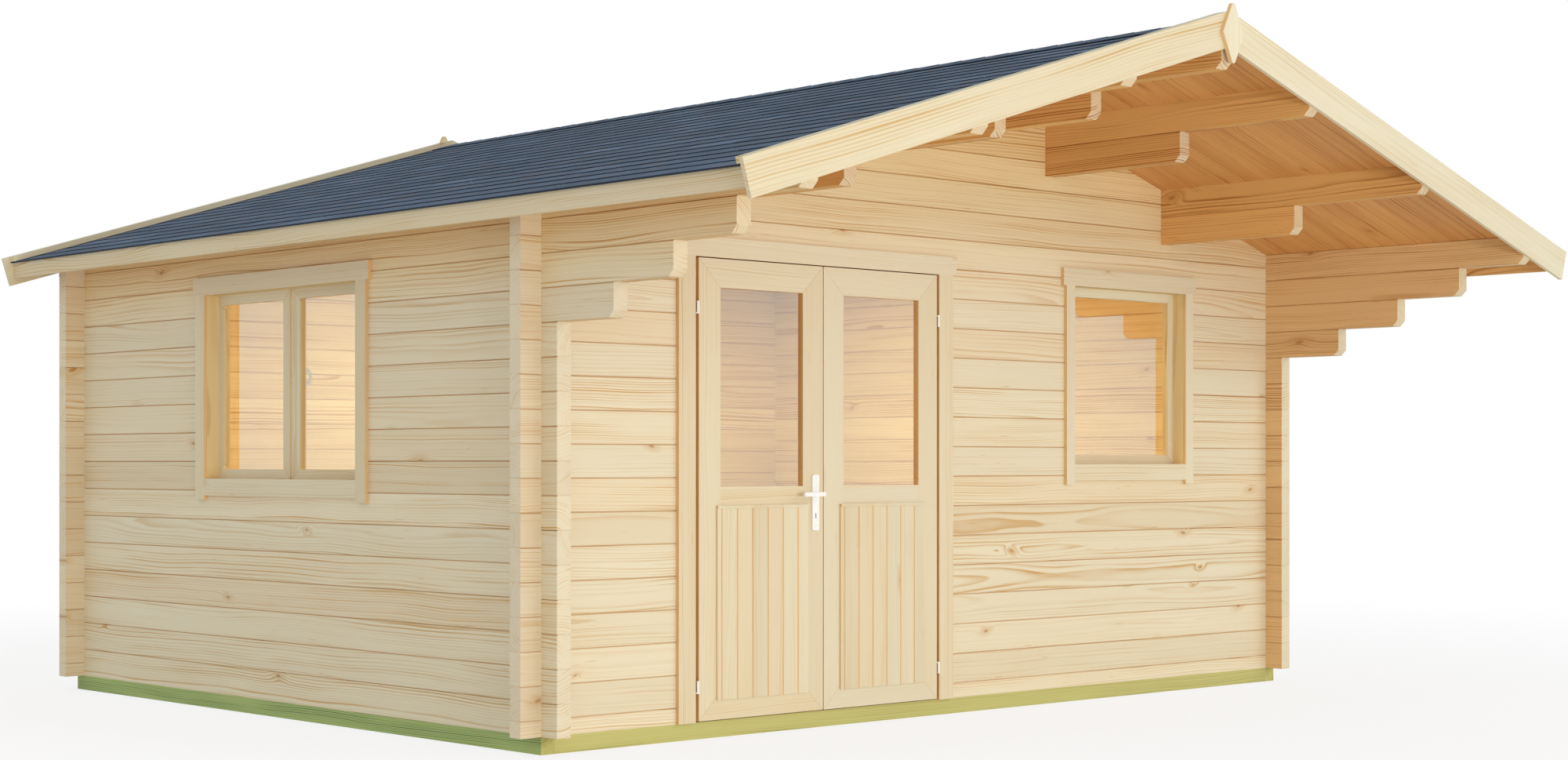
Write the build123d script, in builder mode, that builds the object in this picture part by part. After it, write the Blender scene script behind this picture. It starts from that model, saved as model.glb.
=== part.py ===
from build123d import *
import os
from math import cos, radians, sin, tan

os.makedirs("parts", exist_ok=True)

# A log cabin with a deep front canopy. Millimetres, +Z up, the front looks along -Y.
# The origin is on the ground at the middle of the wall plan.

# Wall plan and logs
cabin_width = 4800
cabin_depth = 3800
log_thickness = 68
log_height = 134
log_overhang = 100
log_chamfer = 5
side_courses = 16
corbel_courses = 4
corbel_step = 343
corbel_chamfer = 28

# Foundation and floor
foundation_height = 70
joist_width = 68
joist_count = 5
floor_thickness = 19
floor_gap = 8

# Roof
roof_pitch = 17.05
front_overhang = corbel_step * corbel_courses + log_overhang
rear_overhang = 203
eaves_overhang = 227
roof_board_thickness = 19
shingle_exposure = 140
shingle_base = 4
shingle_step = 4
shingle_drip = 8
ridge_cap_width = 125
ridge_cap_thickness = 4
barge_height = 142
barge_thickness = 18
barge_rise = 52.6
barge_end_overhang = 56
lath_width = 55
fascia_height = 82
fascia_thickness = 18
finial_width = 140
finial_height = 244
finial_thickness = 18
finial_tip_width = 16
finial_rise = 28

# Casings round the door and the windows
casing_thickness = 18
head_height = 82
head_overhang = 22
apron_height = 78
upright_drop = 20
door_casing_width = 92
front_casing_width = 60
side_casing_width = 75

# Double door
door_centre = -891
leaf_width = 708
leaf_thickness = 44
leaf_gap = 5
hinge_gap = 16.5
stop_gap = 5
stop_lap = 15
stop_rise = 20
jamb_width = 33
frame_inner_lap = 15
stile_width = 119
glass_foot = 1035
mid_rail_height = 102
lower_rail_height = 105
panel_lap = 24
panel_proud = 8
panel_depth = 20
board_width = 87
board_first = 24
board_groove = 8
drip_height = 12
drip_proud = 5
pane_thickness = 4
pane_lip = 14
pane_rebate = 10

# Door furniture
knuckle_radius = 5.5
knuckle_height = 26
hinge_pin_radius = 3
hinge_pin_play = 0.05
hinge_proud = 4
hinge_arm = 6
hinge_pin_length = 16
hinge_bore_depth = 19
upper_hinge_height = 1770
lower_hinge_height = 215
seat_gap = 0.3
plate_width = 40
plate_height = 238
plate_thickness = 8
plate_drop = 36
lever_height = 1000
lever_backset = 49
lever_length = 114
lever_bar_height = 18
lever_bar_depth = 12
lever_stand_off = 52
lever_neck_radius = 9
spindle_radius = 6
spindle_play = 0.05
spindle_hole_gap = 3
plate_corner = 8
lever_chamfer = 3
keyhole_drop = 92
keyhole_width = 7
keyhole_height = 22
keyhole_depth = 2

# Windows
window_courses = 7
front_window_centre = 1208
front_window_clear = 855
front_window_course = 7
side_window_clear = 1262
side_window_course = 7
frame_side = 35
frame_foot = 53
frame_top = 37
frame_depth = 104
sash_setback = 62
sash_rebate = 12
sash_thickness = 42
sash_stile = 54
sash_play = 2
mullion_width = 30
mullion_setback = 6
handle_width = 12
handle_height = 90
handle_reach = 36
handle_thickness = 9
handle_foot = 12
handle_above = 40

# Worked out from the sizes above
overrun = 50
half_width = cabin_width / 2
half_depth = cabin_depth / 2
inner_x = half_width - log_thickness
inner_y = half_depth - log_thickness
side_x = half_width - log_thickness / 2
front_y = half_depth - log_thickness / 2
wall_base = foundation_height
wall_top = wall_base + side_courses * log_height
half_log = log_height / 2
pitch = radians(roof_pitch)
rise = tan(pitch)
ridge_under = wall_top + rise * inner_x
roof_front = -half_depth - front_overhang
roof_rear = half_depth + rear_overhang
roof_length = roof_rear - roof_front
eaves_x = half_width + eaves_overhang
fascia_x = eaves_x + fascia_thickness
corbel_end = -half_depth - corbel_step * 2 - log_overhang


def side_level(course):
    """Underside of a side wall's course, counted from 0."""
    return wall_base + course * log_height


def front_level(course):
    """Underside of a front or back wall's full course, counted from 0, above its half log."""
    return wall_base + half_log + course * log_height


def roof_under(x):
    """Height of the roof boards' underside at a distance from the ridge."""
    return ridge_under - rise * abs(x)


def roof_point(along, above):
    """A point of the right slope: along it from the ridge, and square above its underside."""
    x = along * cos(pitch) + above * sin(pitch)
    return (x, ridge_under - along * sin(pitch) + above * cos(pitch))


def over_ridge(above):
    """The point straight over the ridge where a layer of that height meets the other slope."""
    return (0, ridge_under + above / cos(pitch))


# Places of the purlins: each inner top edge touches the roof boards on a course line
lower_course = side_courses + 1
upper_course = side_courses + 3
ridge_course = side_courses + 4
lower_purlin_x = inner_x - 2 * log_height / rise + log_thickness / 2
upper_purlin_x = inner_x - 4 * log_height / rise + log_thickness / 2

# Door and window cut-outs in the logs
door_clear = 2 * leaf_width + leaf_gap + 2 * hinge_gap
door_cut = door_clear + 2 * jamb_width
door_left = door_centre - door_cut / 2
door_right = door_centre + door_cut / 2
door_courses = 14
door_top = front_level(door_courses)
front_cut = front_window_clear + 2 * frame_side
front_cut_left = front_window_centre - front_cut / 2
front_cut_right = front_window_centre + front_cut / 2
side_cut = side_window_clear + 2 * frame_side
front_window_base = front_level(front_window_course)
side_window_base = side_level(side_window_course)
window_height = window_courses * log_height

# The space above the roof boards' underside, which trims every log below the roof
with BuildPart() as roof_space:
    with BuildSketch(Plane.XZ.offset(-roof_rear - overrun)):
        with BuildLine():
            Polyline(
                (-eaves_x, roof_under(eaves_x)),
                (0, ridge_under),
                (eaves_x, roof_under(eaves_x)),
                (eaves_x, ridge_under + log_height),
                (-eaves_x, ridge_under + log_height),
                close=True,
            )
        make_face()
    extrude(amount=roof_length + 2 * overrun)


def log_along_y(x, course, y_from, y_to):
    """A log of a side wall with its upper edges eased, in the open part."""
    with BuildSketch(Plane.XZ.offset(-y_to)) as section:
        with Locations((x, side_level(course) + half_log)):
            Rectangle(log_thickness, log_height)
        chamfer(section.vertices().sort_by(Axis.Y)[-2:], log_chamfer)
    extrude(section.sketch, amount=y_to - y_from)


def log_along_x(y, level, height, x_from, x_to):
    """A log of a front or back wall with its upper edges eased, in the open part."""
    with BuildSketch(Plane.YZ.offset(x_from)) as section:
        with Locations((y, level + height / 2)):
            Rectangle(log_thickness, height)
        chamfer(section.vertices().sort_by(Axis.Y)[-2:], log_chamfer)
    extrude(section.sketch, amount=x_to - x_from)


def cut_corner(x, y, heights):
    """Halving notches in the open part's logs, where the crossing wall's logs lie."""
    with Locations(*[(x, y, height) for height in heights]):
        Box(log_thickness, log_thickness, half_log, mode=Mode.SUBTRACT)


def cut_corbel_end(x, y, z):
    """The sloping cut under the front end of a jutting log in the open part."""
    with BuildSketch(Plane.YZ.offset(x - log_thickness)) as profile:
        with BuildLine():
            Polyline((y, z), (y + corbel_chamfer, z), (y, z + corbel_chamfer), close=True)
        make_face()
    extrude(profile.sketch, amount=2 * log_thickness, mode=Mode.SUBTRACT)


def side_wall(x, first, window_cut):
    """Every second log of a side wall from the first course, in the open part."""
    plain_end = half_depth + log_overhang
    window_rows = range(side_window_course, side_window_course + window_courses)
    for course in range(first, side_courses, 2):
        jut = max(0, course - (side_courses - corbel_courses) + 1) * corbel_step
        y_from = -plain_end - jut
        y_to = roof_rear if course == side_courses - 1 else plain_end
        if window_cut and course in window_rows:
            log_along_y(x, course, y_from, -window_cut / 2)
            log_along_y(x, course, window_cut / 2, y_to)
        else:
            log_along_y(x, course, y_from, y_to)
        if jut:
            cut_corbel_end(x, y_from, side_level(course))
    notches = [side_level(course) for course in range(side_courses + 1)]
    cut_corner(x, -front_y, notches)
    cut_corner(x, front_y, notches)
    add(roof_space.part, mode=Mode.SUBTRACT)


def gable_notches(y, corbels):
    """Notches of a front or back wall's logs: both corners and the logs that carry the roof."""
    corner = [side_level(course) + half_log for course in range(side_courses)]
    cut_corner(-side_x, y, corner)
    cut_corner(side_x, y, corner)
    carriers = [
        (lower_purlin_x, lower_course),
        (-lower_purlin_x, lower_course),
        (upper_purlin_x, upper_course),
        (-upper_purlin_x, upper_course),
        (0, ridge_course),
    ]
    for x, course in carriers:
        courses = [course, course - 1] if corbels else [course]
        cut_corner(x, y, [side_level(row) + half_log for row in courses])


def front_runs(course):
    """Lengths of a front wall course beside the door and the window."""
    end = half_width + log_overhang
    window_rows = range(front_window_course, front_window_course + window_courses)
    if course >= door_courses:
        return [(-end, end)]
    if course in window_rows:
        return [(-end, door_left), (door_right, front_cut_left), (front_cut_right, end)]
    return [(-end, door_left), (door_right, end)]


def back_runs(course):
    """The back wall's logs run from corner to corner."""
    end = half_width + log_overhang
    return [(-end, end)]


gable_courses = 1 + int((ridge_under - front_level(0)) // log_height)


def gable_wall(y, first, runs, corbels):
    """Every second log of the front or back wall from the first course, in the open part."""
    for course in range(first, gable_courses, 2):
        for x_from, x_to in runs(course):
            log_along_x(y, front_level(course), log_height, x_from, x_to)
    if first == 1:
        for x_from, x_to in runs(0):
            log_along_x(y, wall_base, half_log, x_from, x_to)
    gable_notches(y, corbels)
    add(roof_space.part, mode=Mode.SUBTRACT)


# Foundation beams under the walls, and the joists between them
with BuildPart() as foundation_side_beams:
    with Locations((-side_x, 0, foundation_height / 2), (side_x, 0, foundation_height / 2)):
        Box(log_thickness, cabin_depth, foundation_height)

with BuildPart() as foundation_cross_beams:
    with Locations((0, -front_y, foundation_height / 2), (0, front_y, foundation_height / 2)):
        Box(2 * inner_x, log_thickness, foundation_height)
    with Locations((0, 0, foundation_height / 2)):
        with GridLocations(0, 2 * front_y / (joist_count + 1), 1, joist_count):
            Box(2 * inner_x, joist_width, foundation_height)

with BuildPart() as floor:
    with Locations((0, 0, foundation_height + floor_thickness / 2)):
        Box(
            2 * (inner_x - floor_gap),
            2 * (inner_y - frame_inner_lap - floor_gap),
            floor_thickness,
        )

# Walls: every second log in one node, so that the logs of a node never touch
with BuildPart() as left_wall_odd_logs:
    side_wall(-side_x, 0, side_cut)

with BuildPart() as left_wall_even_logs:
    side_wall(-side_x, 1, side_cut)

with BuildPart() as right_wall_odd_logs:
    side_wall(side_x, 0, 0)

with BuildPart() as right_wall_even_logs:
    side_wall(side_x, 1, 0)

with BuildPart() as front_wall_odd_logs:
    gable_wall(-front_y, 0, front_runs, True)

with BuildPart() as front_wall_even_logs:
    gable_wall(-front_y, 1, front_runs, True)

with BuildPart() as back_wall_odd_logs:
    gable_wall(front_y, 0, back_runs, False)

with BuildPart() as back_wall_even_logs:
    gable_wall(front_y, 1, back_runs, False)


def purlin(x, course, height):
    """A roof log on the gables, from barge to barge, in the open part."""
    with BuildSketch(Plane.XZ.offset(-roof_rear)) as section:
        with Locations((x, side_level(course) + height / 2)):
            Rectangle(log_thickness, height)
    extrude(section.sketch, amount=roof_length)
    cut_corbel_end(x, roof_front, side_level(course))
    levels = [side_level(course), side_level(course + 1), side_level(course + 1) + half_log]
    cut_corner(x, -front_y, levels)
    cut_corner(x, front_y, levels)
    add(roof_space.part, mode=Mode.SUBTRACT)


with BuildPart() as lower_purlins:
    purlin(-lower_purlin_x, lower_course, log_height)
    purlin(lower_purlin_x, lower_course, log_height)

with BuildPart() as upper_purlins:
    purlin(-upper_purlin_x, upper_course, log_height)
    purlin(upper_purlin_x, upper_course, log_height)

with BuildPart() as ridge_purlin:
    purlin(0, ridge_course, ridge_under - side_level(ridge_course))

with BuildPart() as purlin_corbels:
    corbel_places = [
        (-lower_purlin_x, lower_course - 1),
        (lower_purlin_x, lower_course - 1),
        (-upper_purlin_x, upper_course - 1),
        (upper_purlin_x, upper_course - 1),
        (0, ridge_course - 1),
    ]
    for corbel_x, corbel_course in corbel_places:
        log_along_y(corbel_x, corbel_course, corbel_end, -inner_y + log_overhang)
        cut_corbel_end(corbel_x, corbel_end, side_level(corbel_course))
        cut_corner(corbel_x, -front_y, [side_level(corbel_course), side_level(corbel_course + 1)])


def slope_layer(points, y_from, y_to):
    """A layer of the right roof slope with that section, in the open part."""
    with BuildSketch(Plane.XZ.offset(-y_to)) as profile:
        with BuildLine():
            Polyline(*points, close=True)
        make_face()
    extrude(profile.sketch, amount=y_to - y_from)


# Roof boards from the ridge to the eaves
eaves_along = eaves_x / cos(pitch)
boards_top_eaves = roof_under(eaves_x) + roof_board_thickness / cos(pitch)

with BuildPart() as roof_boards_right:
    slope_layer(
        [
            (0, ridge_under),
            (eaves_x, roof_under(eaves_x)),
            (eaves_x, boards_top_eaves),
            over_ridge(roof_board_thickness),
        ],
        roof_front,
        roof_rear,
    )

with BuildPart() as roof_boards_left:
    mirror(roof_boards_right.part, about=Plane.YZ)

# Shingle courses: each butt stands a step above the course below it
shingle_foot = (fascia_x + shingle_drip) / cos(pitch)
shingle_rows = int(shingle_foot // shingle_exposure)
shingle_low = roof_board_thickness
shingle_mid = shingle_low + shingle_base
shingle_high = shingle_mid + shingle_step

with BuildPart() as roof_covering_right:
    shingle_points = [over_ridge(shingle_low), roof_point(shingle_foot, shingle_low)]
    for row in range(shingle_rows):
        shingle_points.append(roof_point(shingle_foot - row * shingle_exposure, shingle_high))
        shingle_points.append(roof_point(shingle_foot - (row + 1) * shingle_exposure, shingle_mid))
    shingle_points.append(roof_point(shingle_foot - shingle_rows * shingle_exposure, shingle_high))
    shingle_points.append(over_ridge(shingle_high))
    slope_layer(shingle_points, roof_front, roof_rear)

with BuildPart() as roof_covering_left:
    mirror(roof_covering_right.part, about=Plane.YZ)

with BuildPart() as ridge_cap:
    cap_high = shingle_high + ridge_cap_thickness
    cap_side = [
        over_ridge(shingle_high),
        roof_point(ridge_cap_width, shingle_high),
        roof_point(ridge_cap_width, cap_high),
        over_ridge(cap_high),
    ]
    slope_layer(cap_side, roof_front + lath_width, roof_rear - lath_width)
    mirror(about=Plane.YZ)

# Verge laths on the shingles behind the barge boards
with BuildPart() as right_verge_laths:
    lath_section = [
        over_ridge(shingle_high),
        roof_point(shingle_foot, shingle_high),
        roof_point(shingle_foot, barge_rise),
        over_ridge(barge_rise),
    ]
    slope_layer(lath_section, roof_front, roof_front + lath_width)
    slope_layer(lath_section, roof_rear - lath_width, roof_rear)

with BuildPart() as left_verge_laths:
    mirror(right_verge_laths.part, about=Plane.YZ)

# Barge boards, mitred at the ridge and cut square at the eaves
with BuildPart() as right_barge_boards:
    barge_along = (fascia_x + barge_end_overhang) / cos(pitch) - barge_rise * tan(pitch)
    barge_section = [
        over_ridge(barge_rise - barge_height),
        roof_point(barge_along, barge_rise - barge_height),
        roof_point(barge_along, barge_rise),
        over_ridge(barge_rise),
    ]
    slope_layer(barge_section, roof_front - barge_thickness, roof_front)
    slope_layer(barge_section, roof_rear, roof_rear + barge_thickness)

with BuildPart() as left_barge_boards:
    mirror(right_barge_boards.part, about=Plane.YZ)

# Eaves fascias, bevelled along the slope under the shingles
with BuildPart() as eaves_fascias:
    fascia_top_in = boards_top_eaves
    fascia_top_out = boards_top_eaves - rise * fascia_thickness
    slope_layer(
        [
            (eaves_x, fascia_top_in - fascia_height),
            (fascia_x, fascia_top_in - fascia_height),
            (fascia_x, fascia_top_out),
            (eaves_x, fascia_top_in),
        ],
        roof_front,
        roof_rear,
    )
    mirror(about=Plane.YZ)

# Diamond finials over the barge mitres
with BuildPart() as finials:
    finial_top = over_ridge(barge_rise)[1] + finial_rise
    finial_middle = finial_top - finial_height / 2
    for finial_back in (roof_front - barge_thickness, roof_rear + barge_thickness + finial_thickness):
        with BuildSketch(Plane.XZ.offset(-finial_back)):
            with BuildLine():
                Polyline(
                    (-finial_tip_width / 2, finial_top),
                    (finial_tip_width / 2, finial_top),
                    (finial_width / 2, finial_middle),
                    (finial_tip_width / 2, finial_top - finial_height),
                    (-finial_tip_width / 2, finial_top - finial_height),
                    (-finial_width / 2, finial_middle),
                    close=True,
                )
            make_face()
        extrude(amount=finial_thickness)

# Casing boards round the door, the front window and the side window
front_face = -half_depth
casing_front = front_face - casing_thickness
side_face = -half_width
door_casing_outer = door_clear / 2 + door_casing_width
front_casing_outer = front_window_clear / 2 + front_casing_width
side_casing_outer = side_window_clear / 2 + side_casing_width
leaf_foot = foundation_height + stop_gap
leaf_top = door_top - jamb_width - stop_gap
head_foot = door_top - jamb_width
front_clear_foot = front_window_base + frame_foot
front_clear_top = front_window_base + window_height - frame_top
side_clear_foot = side_window_base + frame_foot
side_clear_top = side_window_base + window_height - frame_top


def front_board(x_from, x_to, z_from, z_to):
    """A casing board on the front wall, in the open part."""
    with Locations(((x_from + x_to) / 2, front_face - casing_thickness / 2, (z_from + z_to) / 2)):
        Box(x_to - x_from, casing_thickness, z_to - z_from)


def side_board(y_from, y_to, z_from, z_to):
    """A casing board on the left wall, in the open part."""
    with Locations((side_face - casing_thickness / 2, (y_from + y_to) / 2, (z_from + z_to) / 2)):
        Box(casing_thickness, y_to - y_from, z_to - z_from)


with BuildPart() as casing_uprights:
    for side in (-1, 1):
        edges = sorted((side * door_clear / 2, side * door_casing_outer))
        front_board(door_centre + edges[0], door_centre + edges[1], foundation_height, head_foot)
        edges = sorted((side * front_window_clear / 2, side * front_casing_outer))
        front_board(
            front_window_centre + edges[0],
            front_window_centre + edges[1],
            front_clear_foot - apron_height - upright_drop,
            front_clear_top,
        )
        edges = sorted((side * side_window_clear / 2, side * side_casing_outer))
        side_board(*edges, side_clear_foot - apron_height - upright_drop, side_clear_top)

with BuildPart() as casing_heads:
    head_half = door_casing_outer + head_overhang
    front_board(door_centre - head_half, door_centre + head_half, head_foot, head_foot + head_height)
    head_half = front_casing_outer + head_overhang
    front_board(
        front_window_centre - head_half,
        front_window_centre + head_half,
        front_clear_top,
        front_clear_top + head_height,
    )
    head_half = side_casing_outer + head_overhang
    side_board(-head_half, head_half, side_clear_top, side_clear_top + head_height)

with BuildPart() as window_aprons:
    front_board(
        front_window_centre - front_window_clear / 2,
        front_window_centre + front_window_clear / 2,
        front_clear_foot - apron_height,
        front_clear_foot,
    )
    side_board(
        -side_window_clear / 2,
        side_window_clear / 2,
        side_clear_foot - apron_height,
        side_clear_foot,
    )

# Window frames: linings through the wall, rebated for the sashes near the room.
# Each window is drawn looking in from outside, with depth from the wall's outer face.
front_window_plane = Plane(
    origin=(front_window_centre, front_face, front_window_base),
    x_dir=(1, 0, 0),
    z_dir=(0, 1, 0),
)
side_window_plane = Plane(
    origin=(side_face, 0, side_window_base),
    x_dir=(0, 1, 0),
    z_dir=(1, 0, 0),
)
clear_height = window_height - frame_foot - frame_top


def up_sign(plane):
    """The sign that makes a plane's local Y run upwards."""
    return 1 if plane.y_dir.Z > 0 else -1


def window_panel(plane, middle, width, foot, top, depth_from, depth_to, mode=Mode.ADD):
    """A block of a window: its width, heights over the cut-out's foot, and depths."""
    with BuildSketch(plane.offset(depth_from)) as profile:
        with Locations((middle, up_sign(plane) * (foot + top) / 2)):
            Rectangle(width, top - foot)
    extrude(profile.sketch, amount=depth_to - depth_from, mode=mode)


def window_frame(plane, clear):
    """A lining with its sash rebate, in the open part."""
    window_panel(plane, 0, clear + 2 * frame_side, 0, window_height, 0, frame_depth)
    foot = frame_foot
    top = window_height - frame_top
    window_panel(plane, 0, clear, foot, top, 0, frame_depth, Mode.SUBTRACT)
    wide = clear + 2 * sash_rebate
    window_panel(
        plane, 0, wide, foot - sash_rebate, top + sash_rebate, sash_setback, frame_depth, Mode.SUBTRACT
    )


sash_foot = frame_foot - sash_rebate + sash_play
sash_top = window_height - frame_top + sash_rebate - sash_play
sash_back = sash_setback + sash_thickness
pane_front = sash_setback + pane_lip


def sash(plane, middle, width):
    """A glazed sash with its pane rebate at the back, in the open part."""
    window_panel(plane, middle, width, sash_foot, sash_top, sash_setback, sash_back)
    foot = sash_foot + sash_stile
    top = sash_top - sash_stile
    open_width = width - 2 * sash_stile
    window_panel(plane, middle, open_width, foot, top, sash_setback, sash_back, Mode.SUBTRACT)
    window_panel(
        plane,
        middle,
        open_width + 2 * pane_rebate,
        foot - pane_rebate,
        top + pane_rebate,
        pane_front,
        sash_back,
        Mode.SUBTRACT,
    )


def pane(plane, middle, width):
    """The glass of a sash, in the open part."""
    foot = sash_foot + sash_stile - pane_rebate
    top = sash_top - sash_stile + pane_rebate
    open_width = width - 2 * sash_stile + 2 * pane_rebate
    window_panel(plane, middle, open_width, foot, top, pane_front, pane_front + pane_thickness)


front_sash_width = front_window_clear + 2 * (sash_rebate - sash_play)
side_sash_width = (side_window_clear - mullion_width) / 2 + sash_rebate - sash_play
side_sash_middle = (mullion_width + side_sash_width) / 2

with BuildPart() as window_frames:
    window_frame(front_window_plane, front_window_clear)
    window_frame(side_window_plane, side_window_clear)
    window_panel(
        side_window_plane,
        0,
        mullion_width,
        frame_foot - sash_rebate,
        window_height - frame_top + sash_rebate,
        sash_setback + mullion_setback,
        frame_depth,
    )

with BuildPart() as window_sashes:
    sash(front_window_plane, 0, front_sash_width)
    sash(side_window_plane, -side_sash_middle, side_sash_width)
    sash(side_window_plane, side_sash_middle, side_sash_width)

with BuildPart() as window_panes:
    pane(front_window_plane, 0, front_sash_width)
    pane(side_window_plane, -side_sash_middle, side_sash_width)
    pane(side_window_plane, side_sash_middle, side_sash_width)

# The inside bow handle on the front one of the side window's two sashes
with BuildPart() as window_handle:
    handle_y = -mullion_width / 2 - sash_stile / 2
    handle_z = side_window_base + window_height / 2 + handle_above
    handle_x = side_face + sash_back
    handle_low = handle_z - handle_height / 2
    handle_high = handle_z + handle_height / 2
    with BuildSketch(Plane.XZ.offset(-handle_y - handle_width / 2)):
        with BuildLine():
            ThreePointArc(
                (handle_x, handle_low), (handle_x + handle_reach, handle_z), (handle_x, handle_high)
            )
            Line((handle_x, handle_high), (handle_x, handle_high - handle_foot))
            ThreePointArc(
                (handle_x, handle_high - handle_foot),
                (handle_x + handle_reach - handle_thickness, handle_z),
                (handle_x, handle_low + handle_foot),
            )
            Line((handle_x, handle_low + handle_foot), (handle_x, handle_low))
        make_face()
    extrude(amount=handle_width)

# Door frame: jambs and head rebated for the leaves, with a stop behind them and a sill
leaf_front = casing_front
leaf_back = leaf_front + leaf_thickness
stop_front = leaf_back + stop_gap
frame_back = -inner_y + frame_inner_lap
stop_clear = door_clear - 2 * (hinge_gap + stop_lap)


def front_block(x_from, x_to, y_from, y_to, z_from, z_to, mode=Mode.ADD):
    """A block of the front, between two corners, in the open part."""
    with Locations(((x_from + x_to) / 2, (y_from + y_to) / 2, (z_from + z_to) / 2)):
        Box(x_to - x_from, y_to - y_from, z_to - z_from, mode=mode)


with BuildPart() as door_frame:
    front_block(door_left, door_right, front_face, frame_back, foundation_height, door_top)
    front_block(
        door_centre - stop_clear / 2,
        door_centre + stop_clear / 2,
        front_face,
        frame_back,
        foundation_height + stop_rise,
        leaf_top - stop_lap,
        Mode.SUBTRACT,
    )
    front_block(
        door_centre - door_clear / 2,
        door_centre + door_clear / 2,
        front_face,
        stop_front,
        foundation_height,
        head_foot,
        Mode.SUBTRACT,
    )

# Door leaves, drawn for one side: -1 is the left leaf and 1 the right one
mid_rail_foot = glass_foot - mid_rail_height
panel_top = mid_rail_foot + panel_lap
panel_foot = leaf_foot + lower_rail_height - panel_lap


def leaf_span(side):
    """Left and right edge of a leaf."""
    near = door_centre + side * leaf_gap / 2
    far = near + side * leaf_width
    return min(near, far), max(near, far)


def lever_place(side):
    """Middle of the meeting stile where a lever and its plates sit."""
    return door_centre + side * (leaf_gap / 2 + lever_backset)


def leaf(side):
    """A framed leaf with a glass opening above and a panel opening below, in the open part."""
    left, right = leaf_span(side)
    front_block(left, right, leaf_front, leaf_back, leaf_foot, leaf_top)
    inner_left = left + stile_width
    inner_right = right - stile_width
    glass_top = leaf_top - stile_width
    front_block(
        inner_left, inner_right, leaf_front, leaf_back, glass_foot, glass_top, Mode.SUBTRACT
    )
    front_block(
        inner_left - pane_rebate,
        inner_right + pane_rebate,
        leaf_front + pane_lip,
        leaf_back,
        glass_foot - pane_rebate,
        glass_top + pane_rebate,
        Mode.SUBTRACT,
    )
    front_block(
        inner_left,
        inner_right,
        leaf_front,
        leaf_back,
        leaf_foot + lower_rail_height,
        mid_rail_foot,
        Mode.SUBTRACT,
    )


def leaf_glass(side):
    """The pane of a leaf, in the open part."""
    left, right = leaf_span(side)
    front_block(
        left + stile_width - pane_rebate,
        right - stile_width + pane_rebate,
        leaf_front + pane_lip,
        leaf_front + pane_lip + pane_thickness,
        glass_foot - pane_rebate,
        leaf_top - stile_width + pane_rebate,
    )


def leaf_panel(side):
    """The raised field of upright boards with its drip lip, in the open part."""
    left, right = leaf_span(side)
    field_left = left + stile_width - panel_lap
    field_right = right - stile_width + panel_lap
    face = leaf_front - panel_proud
    front_block(field_left, field_right, face, leaf_front, panel_foot, panel_top)
    front_block(
        left + stile_width,
        right - stile_width,
        leaf_front,
        leaf_front + panel_depth,
        leaf_foot + lower_rail_height,
        mid_rail_foot,
    )
    grooves = int((field_right - field_left - board_first) // board_width) + 1
    for groove in range(grooves):
        x = field_left + board_first + groove * board_width
        with BuildSketch(Plane.XY.offset(panel_foot)) as profile:
            with BuildLine():
                Polyline(
                    (x - board_groove / 2, face),
                    (x + board_groove / 2, face),
                    (x, face + board_groove / 2),
                    close=True,
                )
            make_face()
        extrude(profile.sketch, amount=panel_top - panel_foot - drip_height, mode=Mode.SUBTRACT)
    front_block(
        field_left, field_right, face - drip_proud, face, panel_top - drip_height, panel_top
    )


with BuildPart() as left_door_leaf:
    leaf(-1)
    with BuildSketch(Plane.XZ.offset(-leaf_back)):
        with Locations((lever_place(-1), lever_height)):
            Circle(spindle_radius + spindle_hole_gap)
    extrude(amount=leaf_thickness, mode=Mode.SUBTRACT)

with BuildPart() as right_door_leaf:
    leaf(1)

with BuildPart() as left_door_glass:
    leaf_glass(-1)

with BuildPart() as right_door_glass:
    leaf_glass(1)

with BuildPart() as left_door_panel:
    leaf_panel(-1)

with BuildPart() as right_door_panel:
    leaf_panel(1)

# Lift-off hinges: the lower knuckle with its pin on the frame, the upper one on the leaf
hinge_y = casing_front - hinge_proud
hinge_heights = (lower_hinge_height, upper_hinge_height)


def hinge_place(side):
    """Middle of the gap between a leaf and its casing."""
    return door_centre + side * (door_clear - hinge_gap) / 2


def hinge_cylinder(x, z, radius, height, mode=Mode.ADD):
    """An upright cylinder on a hinge's axis, in the open part."""
    with BuildSketch(Plane.XY.offset(z)) as profile:
        with Locations((x, hinge_y)):
            Circle(radius)
    extrude(profile.sketch, amount=height, mode=mode)


def hinge_bracket(x, reach, z):
    """The arm from a knuckle to the wood beside it, in the open part."""
    front_block(
        min(x, x + reach),
        max(x, x + reach),
        hinge_y,
        hinge_y + hinge_proud + hinge_arm,
        z,
        z + hinge_arm,
    )


def frame_hinges(side):
    """The lower knuckles of one side with their pins and arms, in the open part."""
    x = hinge_place(side)
    for z in hinge_heights:
        hinge_cylinder(x, z - knuckle_height, knuckle_radius, knuckle_height)
        hinge_cylinder(x, z, hinge_pin_radius, hinge_pin_length)
        hinge_bracket(x, side * hinge_gap / 2, z - knuckle_height)


def leaf_hinges(side):
    """The upper knuckles of one leaf with their arms and bores, in the open part."""
    x = hinge_place(side)
    for z in hinge_heights:
        foot = z + seat_gap
        hinge_cylinder(x, foot, knuckle_radius, knuckle_height)
        hinge_bracket(x, -side * hinge_gap / 2, foot + knuckle_height - hinge_arm)
        bore = hinge_pin_radius + hinge_pin_play
        hinge_cylinder(x, foot, bore, hinge_bore_depth, Mode.SUBTRACT)


with BuildPart() as frame_hinge_knuckles:
    frame_hinges(-1)
    frame_hinges(1)

with BuildPart() as left_leaf_knuckles:
    leaf_hinges(-1)

with BuildPart() as right_leaf_knuckles:
    leaf_hinges(1)

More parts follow.
